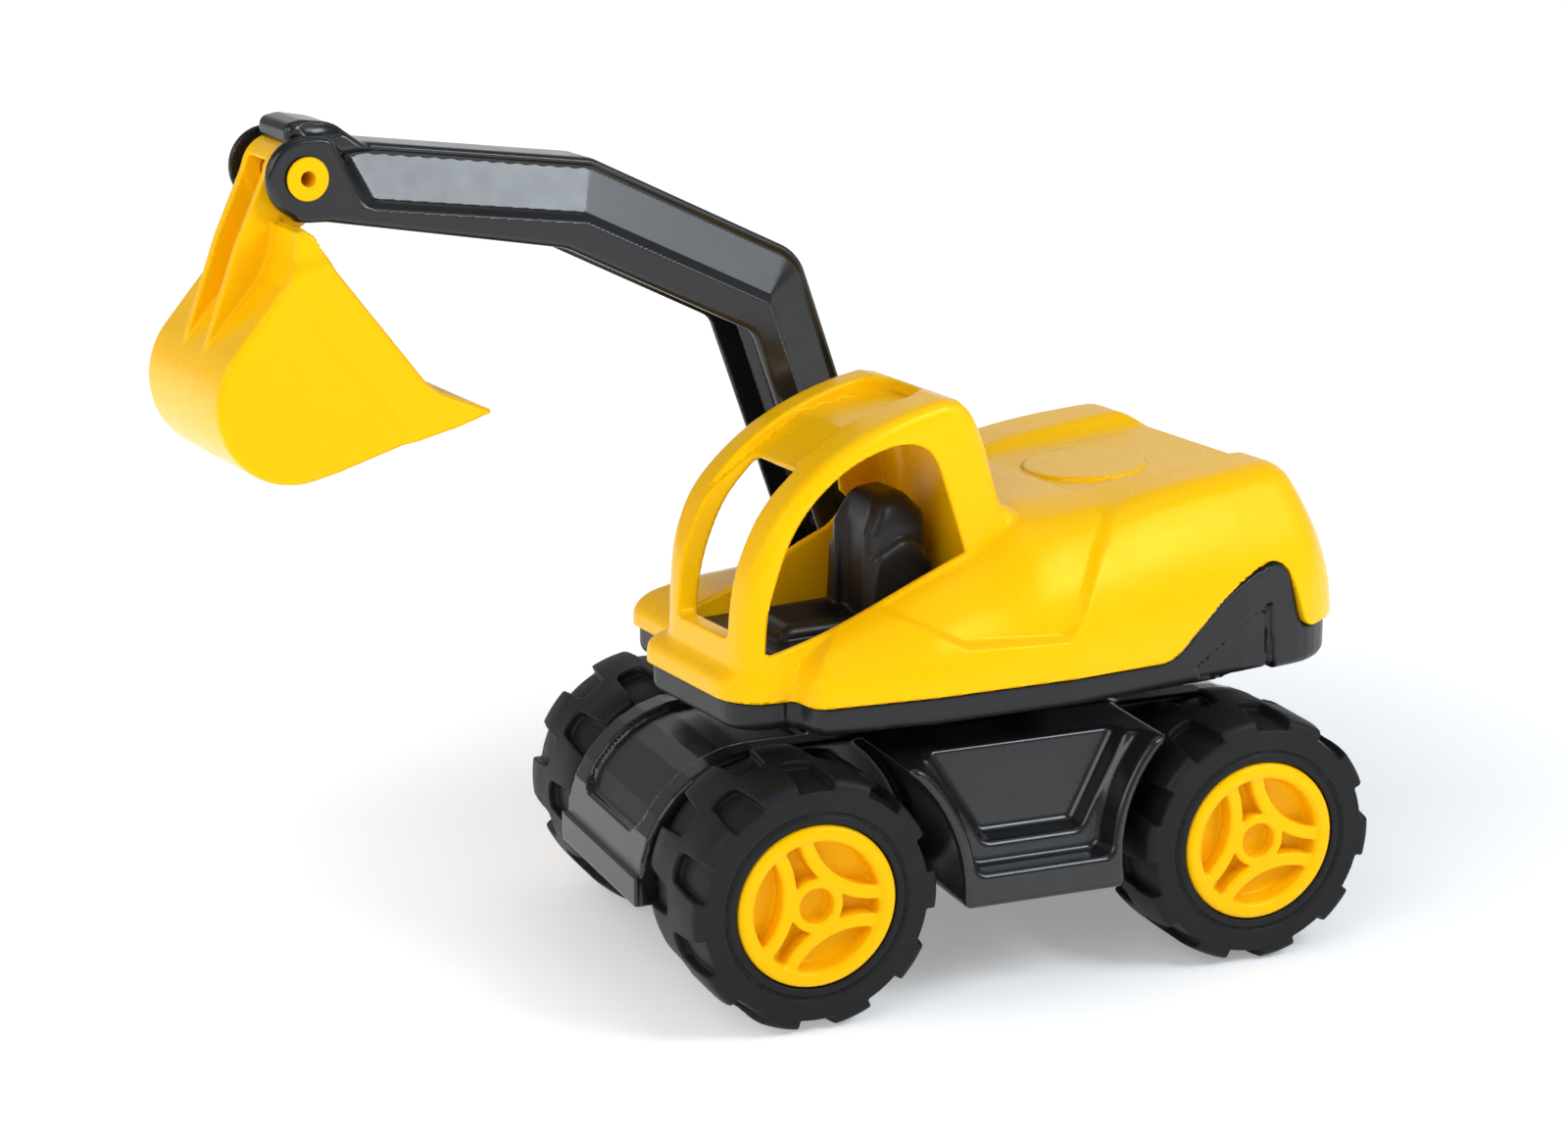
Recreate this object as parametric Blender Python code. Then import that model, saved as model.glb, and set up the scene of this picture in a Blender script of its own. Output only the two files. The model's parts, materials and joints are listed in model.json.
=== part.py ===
"""Toy excavator: wheeled chassis, slewing superstructure with open cab, one-piece boom and hanging bucket.

Lengths below are in millimetres. The chassis has its own axes: -X is forward, Y is across, Z is up, and the
origin lies on the ground half-way between the axles. The superstructure has the same origin, turned about Z
by SLEW_AT_REST. The object's own origin is the bottom centre of its bounding box.
"""

import math

import bmesh
import bpy
from mathutils import Matrix, Vector

MM = 0.001
GAP = 0.35  # clearance left between neighbouring pieces

# Wheels and axles
TYRE_RADIUS = 35.0
TYRE_WIDTH = 35.0
WHEELBASE = 130.0
TRACK_OUTSIDE = 133.0
RIM_RADIUS = 22.2
AXLE_RADIUS = 2.0
LUG_COUNT = 10
LUG_DEPTH = 2.6
SHOULDER_LENGTH = 12.0
TYRE_PHASE = 268.5  # so that a lug's flat stands on the ground
SPOKE_PHASE = 112.0

# Chassis
NOSE_X = 101.0
CORE_HALF_WIDTH = 30.0
BEARING_RADIUS = 5.5
BEARING_REACH = 2.8  # how far a bearing stands out of the core's side
CHASSIS_BOTTOM = 27.5
CHASSIS_TOP = 67.0
STEP_ARCH_RADIUS = 41.5
STEP_BOTTOM = 28.5
STEP_TOP = 66.5
STEP_REACH_BOTTOM = 66.9
STEP_REACH_TOP = 62.0
TURNTABLE_RADIUS = 29.0
SPIGOT_RADIUS = 9.0
WALL = 2.4

# Superstructure
SLEW_AT_REST = 8.0
TRAY_BOTTOM = 77.0
TRAY_INSET = 1.8
SHELL_BOTTOM = 85.5
NOSE_FRONT = -86.5
HAUNCH_FRONT = -70.3
FAR_HAUNCH_FRONT = -73.5
REAR_END = 98.5
HALF_WIDTH = 62.0
DECK_HEIGHT = 127.0
CAB_NEAR = -38.5
CAB_FAR = 12.0
POST_WIDTH = 12.0
BAY_NEAR = 14.5
BAY_FAR = 47.0
SHOULDER_CREST = 44.0
SCREW_PLACES = [(-55.0, -43.0), (-55.0, 43.0), (62.0, -40.0), (62.0, 40.0)]
SEAT_HALF_WIDTH = 12.0
WASHER_RADIUS = 14.0
WASHER_THICKNESS = 1.6

# Boom
BOOM_NEAR = 17.0
BOOM_FAR = 44.5
BOOM_WALL = 2.6
EAR_RADIUS = 10.4
ROOT_RADIUS = 11.4
BOOM_PIVOT = (-15.5, 110.0)
BUCKET_PIVOT = (-177.1, 224.0)
BOOM_PIN_RADIUS = 3.0
LUG_RADIUS = 8.5  # of the tray's lugs, round the boom's pin
LEG_RUN = (9.6, -26.9)  # direction of the boom's lower leg, down to its root
ELBOW_OUTSIDE = [(-99.0, 222.9, 12), (-31.9, 189.8, 16)]
ELBOW_INSIDE = [(-49.7, 171.1, 7), (-105.0, 199.2, 10)]

# Bucket
BUCKET_NEAR = 4.3
BUCKET_FAR = 57.2
BUCKET_WALL = 2.4
BUCKET_BACK = (-186.2, 169.9)
BUCKET_BACK_RADIUS = 21.3
LUG_NEAR = 22.6
LUG_FAR = 38.9
BUCKET_BACK_ARC = (285, 140)
KNUCKLE_RADIUS = 8.6
RIB_THICKNESS = 2.6
PIN_RADIUS = 4.0
PIN_HEAD_RADIUS = 5.6

# Where the chassis origin stands in the object's own frame
BASE_X = 55.07
BASE_Y = -2.23

YELLOW = (1.0, 0.62, 0.0, 1.0)
BLACK = (0.012, 0.012, 0.013, 1.0)
RUBBER = (0.02, 0.02, 0.02, 1.0)
STEEL = (0.6, 0.6, 0.62, 1.0)


# ---------------------------------------------------------------- outlines

def arc(centre, radius, start, end, steps):
    """Points on a circle, with the angles in degrees."""
    points = []
    for i in range(steps + 1):
        angle = math.radians(start + (end - start) * i / steps)
        points.append((centre[0] + radius * math.cos(angle), centre[1] + radius * math.sin(angle)))
    return points


def rounded(corners, steps=3):
    """Closed outline through corners given as (u, v, radius)."""
    points = []
    for i, (u, v, radius) in enumerate(corners):
        here = Vector((u, v))
        if radius <= 0:
            points.append((u, v))
            continue
        before = (Vector(corners[i - 1][:2]) - here).normalized()
        after = (Vector(corners[(i + 1) % len(corners)][:2]) - here).normalized()
        half = before.angle(after) / 2
        middle = here + (before + after).normalized() * radius / math.sin(half)
        reach = radius / math.tan(half)
        first = (here + before * reach) - middle
        last = (here + after * reach) - middle
        turn = first.angle_signed(last)
        for k in range(steps + 1):
            spun = Matrix.Rotation(-turn * k / steps, 2) @ first
            points.append(tuple(middle + spun))
    return points


def signed_area(outline):
    total = 0.0
    for (u0, v0), (u1, v1) in zip(outline, outline[1:] + outline[:1]):
        total += u0 * v1 - u1 * v0
    return total / 2


def inset(outline, distance):
    """The outline moved inwards by a distance, with mitred corners."""
    side = 1.0 if signed_area(outline) > 0 else -1.0
    result = []
    for i, point in enumerate(outline):
        here = Vector(point)
        back = (here - Vector(outline[i - 1])).normalized()
        ahead = (Vector(outline[(i + 1) % len(outline)]) - here).normalized()
        normal_back = Vector((-back.y, back.x)) * side
        normal_ahead = Vector((-ahead.y, ahead.x)) * side
        mitre = (normal_back + normal_ahead).normalized()
        result.append(tuple(here + mitre * distance / max(mitre.dot(normal_back), 0.4)))
    return result


# ---------------------------------------------------------------- solids

def solid(name, points, faces):
    """Closed mesh object, with points in millimetres and faces turned outwards."""
    mesh = bpy.data.meshes.new(name)
    mesh.from_pydata([Vector(point) * MM for point in points], [], faces)
    shape = bmesh.new()
    shape.from_mesh(mesh)
    bmesh.ops.recalc_face_normals(shape, faces=shape.faces)
    shape.to_mesh(mesh)
    shape.free()
    made = bpy.data.objects.new(name, mesh)
    bpy.context.scene.collection.objects.link(made)
    return made


def loft(name, sections):
    """Skin over sections with the same number of points, closed by its first and last section."""
    count = len(sections[0])
    points = [point for section in sections for point in section]
    faces = [tuple(range(count)), tuple(range(len(points) - count, len(points)))]
    for row in range(len(sections) - 1):
        for i in range(count):
            j = (i + 1) % count
            faces.append((row * count + i, row * count + j, (row + 1) * count + j, (row + 1) * count + i))
    return solid(name, points, faces)


def side_prism(name, outline, low, high):
    """Outline in X and Z, extruded across from one Y to another."""
    return loft(name, [[(x, y, z) for x, z in outline] for y in (low, high)])


def plan_prism(name, outline, low, high):
    """Outline in X and Y, extruded upwards."""
    return loft(name, [[(x, y, z) for x, y in outline] for z in (low, high)])


def box(name, low, high):
    return plan_prism(name, [(low[0], low[1]), (high[0], low[1]), (high[0], high[1]), (low[0], high[1])],
                      low[2], high[2])


def cross_cylinder(name, centre, radius, low, high, steps=20):
    """Cylinder along Y, with its centre in X and Z."""
    return side_prism(name, arc(centre, radius, 0, 360 - 360 / steps, steps - 1), low, high)


def post(name, centre, radius, low, high, steps=20):
    """Cylinder along Z, with its centre in X and Y."""
    return plan_prism(name, arc(centre, radius, 0, 360 - 360 / steps, steps - 1), low, high)


def turned(name, profile, centre, steps):
    """Closed profile of (y, radius) spun about an axis along Y through a centre in X and Z."""
    rings = []
    for k in range(steps):
        angle = math.tau * (k + 0.5) / steps
        rings.append([(centre[0] + r * math.cos(angle), y, centre[1] + r * math.sin(angle))
                      for y, r in profile])
    return ring_skin(name, rings)


def ring_skin(name, rings):
    """Skin over rings that close on themselves, as in a tyre."""
    count = len(rings[0])
    points = [point for ring in rings for point in ring]
    faces = []
    for row in range(len(rings)):
        after = (row + 1) % len(rings)
        for i in range(count):
            j = (i + 1) % count
            faces.append((row * count + i, row * count + j, after * count + j, after * count + i))
    return solid(name, points, faces)


def combine(target, tool, operation):
    """Applies one exact Boolean to target and removes the tool."""
    modifier = target.modifiers.new(operation, "BOOLEAN")
    modifier.operation = operation
    modifier.solver = "EXACT"
    modifier.object = tool
    graph = bpy.context.evaluated_depsgraph_get()
    mesh = bpy.data.meshes.new_from_object(target.evaluated_get(graph))
    target.modifiers.clear()
    target.data = mesh
    bpy.data.objects.remove(tool)
    return target


def add(target, *tools):
    for tool in tools:
        combine(target, tool, "UNION")
    return target


def cut(target, *tools):
    for tool in tools:
        combine(target, tool, "DIFFERENCE")
    return target


def keep_inside(target, tool):
    return combine(target, tool, "INTERSECT")


# ---------------------------------------------------------------- materials and frames

def material(name, colour, roughness, metallic=0.0):
    made = bpy.data.materials.new(name)
    made.use_nodes = True
    shader = made.node_tree.nodes["Principled BSDF"]
    shader.inputs["Base Color"].default_value = colour
    shader.inputs["Roughness"].default_value = roughness
    shader.inputs["Metallic"].default_value = metallic
    return made


def frame(name, parent, place, turn=0.0):
    """Empty at a joint. Its place is in millimetres in the parent's axes, and turn is about Z."""
    made = bpy.data.objects.new(name, None)
    bpy.context.scene.collection.objects.link(made)
    made.parent = parent
    made.location = Vector(place) * MM
    made.rotation_euler.z = math.radians(turn)
    return made


def finish(piece, name, finish_material, parent, origin):
    """Names a piece, moves its mesh from the body's axes to its joint's, and hangs it on the joint."""
    piece.name = name
    piece.data.name = name
    piece.data.transform(Matrix.Translation(-Vector(origin) * MM))
    piece.data.materials.clear()
    piece.data.materials.append(finish_material)
    piece.data.shade_smooth()
    piece.data.set_sharp_from_angle(angle=math.radians(30))
    piece.parent = parent
    return piece


# ---------------------------------------------------------------- wheels

def tyre(side, phase):
    """Hollow tyre whose two shoulders carry square lugs, half a pitch apart from side to side."""
    outer = TRACK_OUTSIDE / 2
    inner = outer - TYRE_WIDTH
    bore = RIM_RADIUS + GAP
    low = TYRE_RADIUS - LUG_DEPTH
    pitch = 360.0 / LUG_COUNT
    rings = []
    for k in range(2 * LUG_COUNT):
        first, second = (TYRE_RADIUS, low) if k % 2 == 0 else (low, TYRE_RADIUS)
        profile = [
            (inner, bore), (inner, 30.5), (inner + 1.5, first), (inner + SHOULDER_LENGTH, first),
            (inner + SHOULDER_LENGTH + 1.5, TYRE_RADIUS), (outer - SHOULDER_LENGTH - 1.5, TYRE_RADIUS),
            (outer - SHOULDER_LENGTH, second), (outer - 1.5, second), (outer, 30.5), (outer, bore),
        ]
        for share in (0.08, 0.92):
            angle = math.radians(phase + pitch / 2 * (k + share))
            rings.append([(r * math.cos(angle), side * y, r * math.sin(angle)) for y, r in profile])
    return ring_skin("tyre", rings)


def rim(side, phase):
    """Cup-shaped rim with a hub tube and three bowed spokes on its outside."""
    outer = TRACK_OUTSIDE / 2 + 0.5
    inner = outer - TYRE_WIDTH + 1.5
    floor = outer - 7.5
    ring_inside = RIM_RADIUS - 3.6
    hub, bore = 7.0, AXLE_RADIUS + GAP
    profile = [
        (outer, RIM_RADIUS), (outer, ring_inside), (floor, ring_inside - 0.8), (floor, hub),
        (outer - 0.8, hub), (outer - 0.8, bore), (inner, bore), (inner, 5.0),
        (floor - 2.5, 5.0), (floor - 2.5, RIM_RADIUS - 2.4), (inner, RIM_RADIUS - 2.4), (inner, RIM_RADIUS),
    ]
    made = turned("rim", [(side * y, r) for y, r in profile], (0, 0), 28)
    for k in range(3):
        middle = math.radians(phase + 120 * k + 60)
        bow = (math.cos(middle) * 21.0, math.sin(middle) * 21.0)
        toward = math.degrees(middle) + 180
        band = arc(bow, 17.4, toward - 64, toward + 64, 8) + arc(bow, 14.4, toward + 64, toward - 64, 8)
        add(made, side_prism("spoke", band, side * (floor - 1.0), side * (outer - 0.9)))
    cut(made, cross_cylinder("hub_hole", (0, 0), 4.8, side * (outer - 6.0), side * (outer + 2.0), 16))
    return made


def axle():
    reach = TRACK_OUTSIDE / 2 - 7.0
    return cross_cylinder("axle", (0, 0), AXLE_RADIUS, -reach, reach, 16)


# ---------------------------------------------------------------- chassis

def step_outline(margin=0.0):
    """Side step between the wheels: its ends are arcs about the axles."""
    radius = STEP_ARCH_RADIUS + margin
    bottom, top = STEP_BOTTOM + margin, STEP_TOP - margin
    half = WHEELBASE / 2
    low = math.degrees(math.asin((bottom - TYRE_RADIUS) / radius))
    high = math.degrees(math.asin((top - TYRE_RADIUS) / radius))
    front = arc((-half, TYRE_RADIUS), radius, low, high, 6)
    rear = arc((half, TYRE_RADIUS), radius, 180 - high, 180 - low, 6)
    return front + rear


def step_block(side, margin, root):
    """Step from the core's side out to a face that leans outwards towards the ground."""
    outline = step_outline(margin)
    slope = (STEP_REACH_BOTTOM - STEP_REACH_TOP) / (STEP_TOP - STEP_BOTTOM)
    near = [(x, side * root, z) for x, z in outline]
    far = [(x, side * (STEP_REACH_BOTTOM - margin - slope * (z - STEP_BOTTOM)), z) for x, z in outline]
    return loft("step", [near, far])


def step_recess(side):
    """Shallow tapered panel pressed into the step's outer face, open at its top."""
    panel = [(-30.0, STEP_TOP + 4), (-20.5, 46.0), (-18.5, 38.0), (18.5, 38.0), (20.5, 46.0),
             (30.0, STEP_TOP + 4)]
    return side_prism("recess", panel, side * 59.0, side * (STEP_REACH_BOTTOM + 4))


def chassis_shell():
    """One moulding, open underneath between the axle walls, with a closed step on each side."""
    top, bottom, half = CHASSIS_TOP, CHASSIS_BOTTOM, CORE_HALF_WIDTH
    core = rounded([(-NOSE_X, bottom, 0), (-NOSE_X, top, 34), (NOSE_X, top, 34), (NOSE_X, bottom, 0)], 6)
    made = side_prism("chassis", core, -half, half)
    for end in (-1, 1):
        lip = [(end * (NOSE_X + 1.2), bottom), (end * (NOSE_X + 1.2), 35.5),
               (end * (NOSE_X - 1.5), 37.0), (end * (NOSE_X - 1.5), bottom)]
        add(made, side_prism("lip", lip, -half, half))
    for side in (-1, 1):
        add(made, step_block(side, 0.0, half - 3.0))
    hollow = rounded([(-NOSE_X + WALL, bottom - 4, 0), (-NOSE_X + WALL, top - WALL, 32),
                      (NOSE_X - WALL, top - WALL, 32), (NOSE_X - WALL, bottom - 4, 0)], 6)
    cut(made, side_prism("hollow", hollow, -half + WALL, half - WALL))
    for side in (-1, 1):
        cut(made, step_recess(side), step_block(side, WALL + 4.0, half - 6.0))
        for end in (-1, 1):
            centre = (end * WHEELBASE / 2, TYRE_RADIUS)
            add(made, cross_cylinder("bearing", centre, BEARING_RADIUS, side * (half - 1.2),
                                     side * (half + BEARING_REACH), 16))
    reach = half + 8
    for end in (-1, 1):
        centre = (end * WHEELBASE / 2, TYRE_RADIUS)
        cut(made, cross_cylinder("bore", centre, AXLE_RADIUS + GAP, -reach, reach, 16))
    add(made, post("turntable", (0, 0), TURNTABLE_RADIUS, top - 1.0, TRAY_BOTTOM - GAP, 28))
    cut(made, post("pivot_hole", (0, 0), SPIGOT_RADIUS + GAP, top - 10, TRAY_BOTTOM + 2, 24))
    return made


def swivel_washer():
    top = CHASSIS_TOP - WALL - GAP
    made = post("washer", (0, 0), WASHER_RADIUS, top - WASHER_THICKNESS, top, 24)
    return cut(made, post("hole", (0, 0), 2.6, 50, 80, 16))


def swivel_screw():
    top = CHASSIS_TOP - WALL - 2 * GAP - WASHER_THICKNESS
    made = post("head", (0, 0), 4.6, top - 2.6, top, 16)
    return add(made, post("shank", (0, 0), 2.0, top - 1.0, TRAY_BOTTOM + 4.0, 16))


# ---------------------------------------------------------------- superstructure

def inset_corners(corners, distance):
    """Corners (u, v, radius) moved inwards, with each radius changed to keep the wall's thickness."""
    moved = inset([corner[:2] for corner in corners], distance)
    side = 1.0 if signed_area(moved) > 0 else -1.0
    result = []
    for i, (u, v, radius) in enumerate(corners):
        back = Vector((u, v)) - Vector(corners[i - 1][:2])
        ahead = Vector(corners[(i + 1) % len(corners)][:2]) - Vector((u, v))
        convex = (back.x * ahead.y - back.y * ahead.x) * side > 0
        result.append((*moved[i], max(radius - distance, 0.5) if convex else radius + distance))
    return result


def plan_outline(margin=0.0):
    """Footprint of the yellow shell: narrow cab nose, stepped haunches, rounded tail."""
    near_step, far_step = CAB_NEAR, CAB_FAR + 3.5
    return rounded(inset_corners([
        (NOSE_FRONT, far_step, 4), (NOSE_FRONT, near_step, 13), (HAUNCH_FRONT, near_step, 1.5),
        (HAUNCH_FRONT, -49.5, 5), (-36.0, -56.5, 30), (5.0, -61.3, 30), (60.0, -HALF_WIDTH, 30),
        (REAR_END, -60.0, 20), (REAR_END, 60.0, 20), (60.0, HALF_WIDTH, 30), (5.0, 61.3, 30),
        (-36.0, 56.5, 30), (FAR_HAUNCH_FRONT, 49.5, 5), (FAR_HAUNCH_FRONT, far_step, 1.5),
    ], margin))


TAIL_LINE = [(45.0, 132.0), (65.0, 133.5), (78.0, 132.0), (85.0, 128.5), (90.5, 120.0), (94.5, 110.0),
             (97.4, 99.0), (REAR_END + 0.5, 90.0), (REAR_END + 0.5, 70.0)]
NEAR_LINE = [(NOSE_FRONT - 1, 70.0), (NOSE_FRONT - 1, 95.0), (-83.5, 96.0), (-70.0, 99.0), (-50.0, 105.5),
             (-32.0, 112.5), (-17.0, 118.5), (-7.0, 124.0), (20.0, 128.0)]
FAR_LINE = [(FAR_HAUNCH_FRONT - 1, 70.0), (FAR_HAUNCH_FRONT - 1, 92.0), (-69.0, 97.5), (-60.0, 99.5),
            (-36.0, 100.0), (-24.0, 110.0), (-7.0, 124.0), (20.0, 128.0)]


def height_on(line, x):
    """Height of a top line at x, between its points."""
    for (x0, z0), (x1, z1) in zip(line, line[1:]):
        if x0 <= x <= x1 and x1 > x0:
            return z0 + (z1 - z0) * (x - x0) / (x1 - x0)
    return line[0][1] if x < line[0][0] else line[-1][1]


def shoulder_cutter(side, line, depth):
    """Takes the corner off along one side, so that the flank leans in above the haunch."""
    sections = []
    for x in (-75.0, -50.0, -32.0, -17.0, -7.0, 20.0, 45.0, 65.0, 78.0, 110.0):
        top = height_on(line, max(-62.0, min(x, 78.0))) - depth
        foot = 11.0 if x > -20 else 5.0
        crest = side * SHOULDER_CREST
        sections.append([(x, crest, top + 0.5), (x, crest, top + 30), (x, side * 90.0, top + 30),
                         (x, side * 90.0, top - foot - 8.0), (x, side * (HALF_WIDTH - depth), top - foot)])
    return loft("shoulder", sections)


def body_mass(depth):
    """The closed outer form of the superstructure without its cab, or its hollow when depth is positive."""
    plan = plan_outline(depth)
    floor = SHELL_BOTTOM - (6.0 if depth else 0.0)
    made = plan_prism("body", plan, floor, 150.0)
    near, far = NEAR_LINE + TAIL_LINE, FAR_LINE + TAIL_LINE
    split = CAB_FAR + 2.0
    near_half = side_prism("near", inset(near, depth), -80.0, split)
    far_half = side_prism("far", inset(far, depth), split - 0.5, 80.0)
    keep_inside(made, add(near_half, far_half))
    cut(made, shoulder_cutter(-1, near, depth), shoulder_cutter(1, far, depth))
    channel = rounded([(18.0, DECK_HEIGHT - depth, 2), (120.0, DECK_HEIGHT - depth, 0), (120.0, 150.0, 0),
                       (22.0, 150.0, 0)])
    return cut(made, side_prism("deck", channel, -22.0 - depth, 22.0 + depth))


ARCH_LINE = [(31.0, 85.0), (37.0, 87.0), (44.5, 94.0), (54.0, 101.5), (64.0, 106.6), (70.0, 108.2),
             (75.0, 104.5), (78.8, 92.0), (81.5, 89.0), (120.0, 89.0), (120.0, 60.0), (31.0, 60.0)]
ROOF_LINE = [(-84.2, SHELL_BOTTOM), (-84.2, 103.0), (-82.3, 113.0), (-79.5, 122.5), (-73.8, 133.5),
             (-66.0, 141.6), (-55.5, 148.6), (-43.0, 153.8), (-30.0, 157.2), (-20.0, 158.2), (-15.0, 156.6),
             (-11.5, 150.0), (-8.0, 139.0), (-4.5, 129.5), (1.0, 123.0), (1.0, SHELL_BOTTOM)]
DOOR_LINE = [(-76.8, 98.5), (-76.3, 109.0), (-73.6, 119.5), (-69.2, 129.0), (-62.8, 137.0), (-54.0, 143.9),
             (-45.5, 147.8), (-37.0, 149.8), (-30.2, 148.6), (-26.2, 144.6), (-23.5, 136.5), (-17.0, 118.8),
             (-32.0, 112.8), (-50.0, 105.8), (-64.0, 101.5)]
FAR_WINDOW = [(-76.0, 103.0), (-76.0, 109.0), (-73.4, 119.5), (-69.0, 129.0), (-62.5, 137.0),
              (-54.0, 143.9), (-45.5, 147.8), (-37.0, 149.8), (-30.2, 148.6), (-26.2, 144.6),
              (-20.0, 126.0), (-26.0, 122.0),
              (-29.5, 116.5), (-40.0, 113.5), (-58.0, 105.0)]


def cab():
    """Closed form of the cab: rounded posts and roof rails with a sunken roof panel between them."""
    made = side_prism("cab", ROOF_LINE, CAB_NEAR, CAB_FAR)
    corner = rounded([(-84.3, CAB_NEAR, 12), (60.0, CAB_NEAR, 0), (60.0, CAB_FAR, 0), (-84.3, CAB_FAR, 12)])
    keep_inside(made, plan_prism("corner", corner, 70.0, 170.0))
    panel = [(x, z - 2.2) for x, z in ROOF_LINE[5:11]]
    above = [(-14.0, 175.0), (-80.0, 175.0)]
    cut(made, side_prism("roof_panel", panel + above, CAB_NEAR + 9.0, CAB_FAR - 9.0))
    return made


def cab_room():
    """The space inside the cab."""
    room = inset(ROOF_LINE, 7.4)
    wide = side_prism("room", room, CAB_NEAR + 2.6, CAB_FAR - 2.6)
    under_panel = inset(ROOF_LINE, 4.6)
    add(wide, side_prism("high", under_panel, CAB_NEAR + POST_WIDTH, CAB_FAR - POST_WIDTH))
    return wide


def body_shell():
    """The yellow upper moulding: engine deck, haunches and cab in one thin-walled piece."""
    made = add(body_mass(0.0), cab())
    cut(made, body_mass(WALL))
    cut(made, cab_room())
    cut(made, side_prism("door", DOOR_LINE, CAB_NEAR - 20.0, CAB_NEAR + 6.0))
    cut(made, side_prism("window", FAR_WINDOW, CAB_FAR - 5.0, CAB_FAR + 3.0))
    screen = [(-100.0, 101.5), (-74.0, 101.5), (-58.0, 130.0), (-58.0, 143.5), (-76.0, 160.0),
              (-100.0, 160.0)]
    cut(made, side_prism("screen", screen, CAB_NEAR + POST_WIDTH, CAB_FAR - POST_WIDTH))
    cut(made, box("cab_floor", (-74.0, CAB_NEAR + 3.0, 70.0), (-14.0, CAB_FAR - 3.0, 101.0)))
    bay = [(-31.0, 70.0), (4.0, 70.0), (4.0, 175.0), (-31.0, 175.0)]
    cut(made, side_prism("bay", bay, BAY_NEAR, BAY_FAR))
    cut(made, side_prism("arch", ARCH_LINE, -80.0, 80.0))
    for x, y in SCREW_PLACES:
        ceiling = height_on((NEAR_LINE if y < 0 else FAR_LINE) + TAIL_LINE, x)
        boss = post("boss", (x, y), 3.6, TRAY_BOTTOM + WALL + 0.6, ceiling - 1.3, 12)
        add(made, cut(boss, post("boss_bore", (x, y), 1.7, 70.0, 97.0, 10)))
    return made


def base_tray():
    """Black lower moulding: floor, rim, the panels that fill the wheel arches, and the boom's two lugs."""
    made = plan_prism("tray", plan_outline(TRAY_INSET), TRAY_BOTTOM, 115.0)
    cut(made, plan_prism("inside", plan_outline(TRAY_INSET + WALL), TRAY_BOTTOM + WALL, 120.0))
    line = inset(ARCH_LINE, GAP)[:-3]
    start = [(-150.0, SHELL_BOTTOM - GAP), (33.0, SHELL_BOTTOM - GAP)]
    above = start + line[1:] + [(150.0, line[-1][1]), (150.0, 130.0), (-150.0, 130.0)]
    cut(made, side_prism("above", above, -90.0, 90.0))
    x = BOOM_PIVOT[0]
    foot = TRAY_BOTTOM + 1.0
    lug = [(x - 12.0, foot)] + arc(BOOM_PIVOT, LUG_RADIUS, 180, 0, 8) + [(x + 14.0, foot)]
    for low, high in ((BAY_NEAR + GAP, BOOM_NEAR - GAP), (BOOM_FAR + GAP, BAY_FAR - GAP)):
        add(made, side_prism("lug", lug, low, high))
    cut(made, cross_cylinder("lug_bore", BOOM_PIVOT, BOOM_PIN_RADIUS + GAP, BAY_NEAR - 2, BAY_FAR + 2, 16))
    add(made, post("spigot", (0, 0), SPIGOT_RADIUS, CHASSIS_TOP - WALL + GAP, TRAY_BOTTOM + 8.0, 20))
    cut(made, post("spigot_bore", (0, 0), AXLE_RADIUS + GAP, 50.0, TRAY_BOTTOM + 5.0, 16))
    for x, y in SCREW_PLACES:
        cut(made, post("head_recess", (x, y), 3.4, TRAY_BOTTOM - 1.0, TRAY_BOTTOM + 1.2, 12))
        cut(made, post("screw_hole", (x, y), 1.9, TRAY_BOTTOM - 1.0, TRAY_BOTTOM + 5.0, 10))
    return made


def body_screw(x, y):
    made = post("head", (x, y), 3.0, TRAY_BOTTOM + 0.1, TRAY_BOTTOM + 0.9, 12)
    return add(made, post("shank", (x, y), 1.35, TRAY_BOTTOM + 0.5, 93.0, 10))


def seat():
    """Floor plate, cushion and bolstered back in one black moulding."""
    middle = (CAB_NEAR + CAB_FAR) / 2
    made = box("floor", (-73.0, CAB_NEAR + 3.6, 94.5), (-15.0, CAB_FAR - 3.6, 97.0))
    cushion = rounded([(-60.0, 96.0, 0), (-60.0, 104.5, 2), (-30.0, 103.0, 1), (-30.0, 96.0, 0)])
    low, high = middle - SEAT_HALF_WIDTH, middle + SEAT_HALF_WIDTH
    add(made, side_prism("cushion", cushion, low, high))
    back = rounded([(-34.5, 96.0, 0), (-36.0, 120.0, 3), (-31.5, 131.0, 3.5), (-25.0, 131.0, 3),
                    (-27.0, 96.0, 0)])
    return add(made, side_prism("back", back, low, high))


# ---------------------------------------------------------------- boom and bucket

def boom_outline():
    """Side outline of the boom, round the bucket's ear, along the top, round the root and back below."""
    leg = math.degrees(math.atan2(LEG_RUN[1], LEG_RUN[0]))
    root = arc(BOOM_PIVOT, ROOT_RADIUS, leg + 90, leg - 90, 8)
    tip = arc(BUCKET_PIVOT, EAR_RADIUS, 258, 82, 10)
    upper = rounded([(*tip[-1], 0)] + ELBOW_OUTSIDE + [(*root[0], 0)])[1:-1]
    lower = rounded([(*root[-1], 0)] + ELBOW_INSIDE + [(*tip[0], 0)])[1:-1]
    return tip + upper + root + lower


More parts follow.
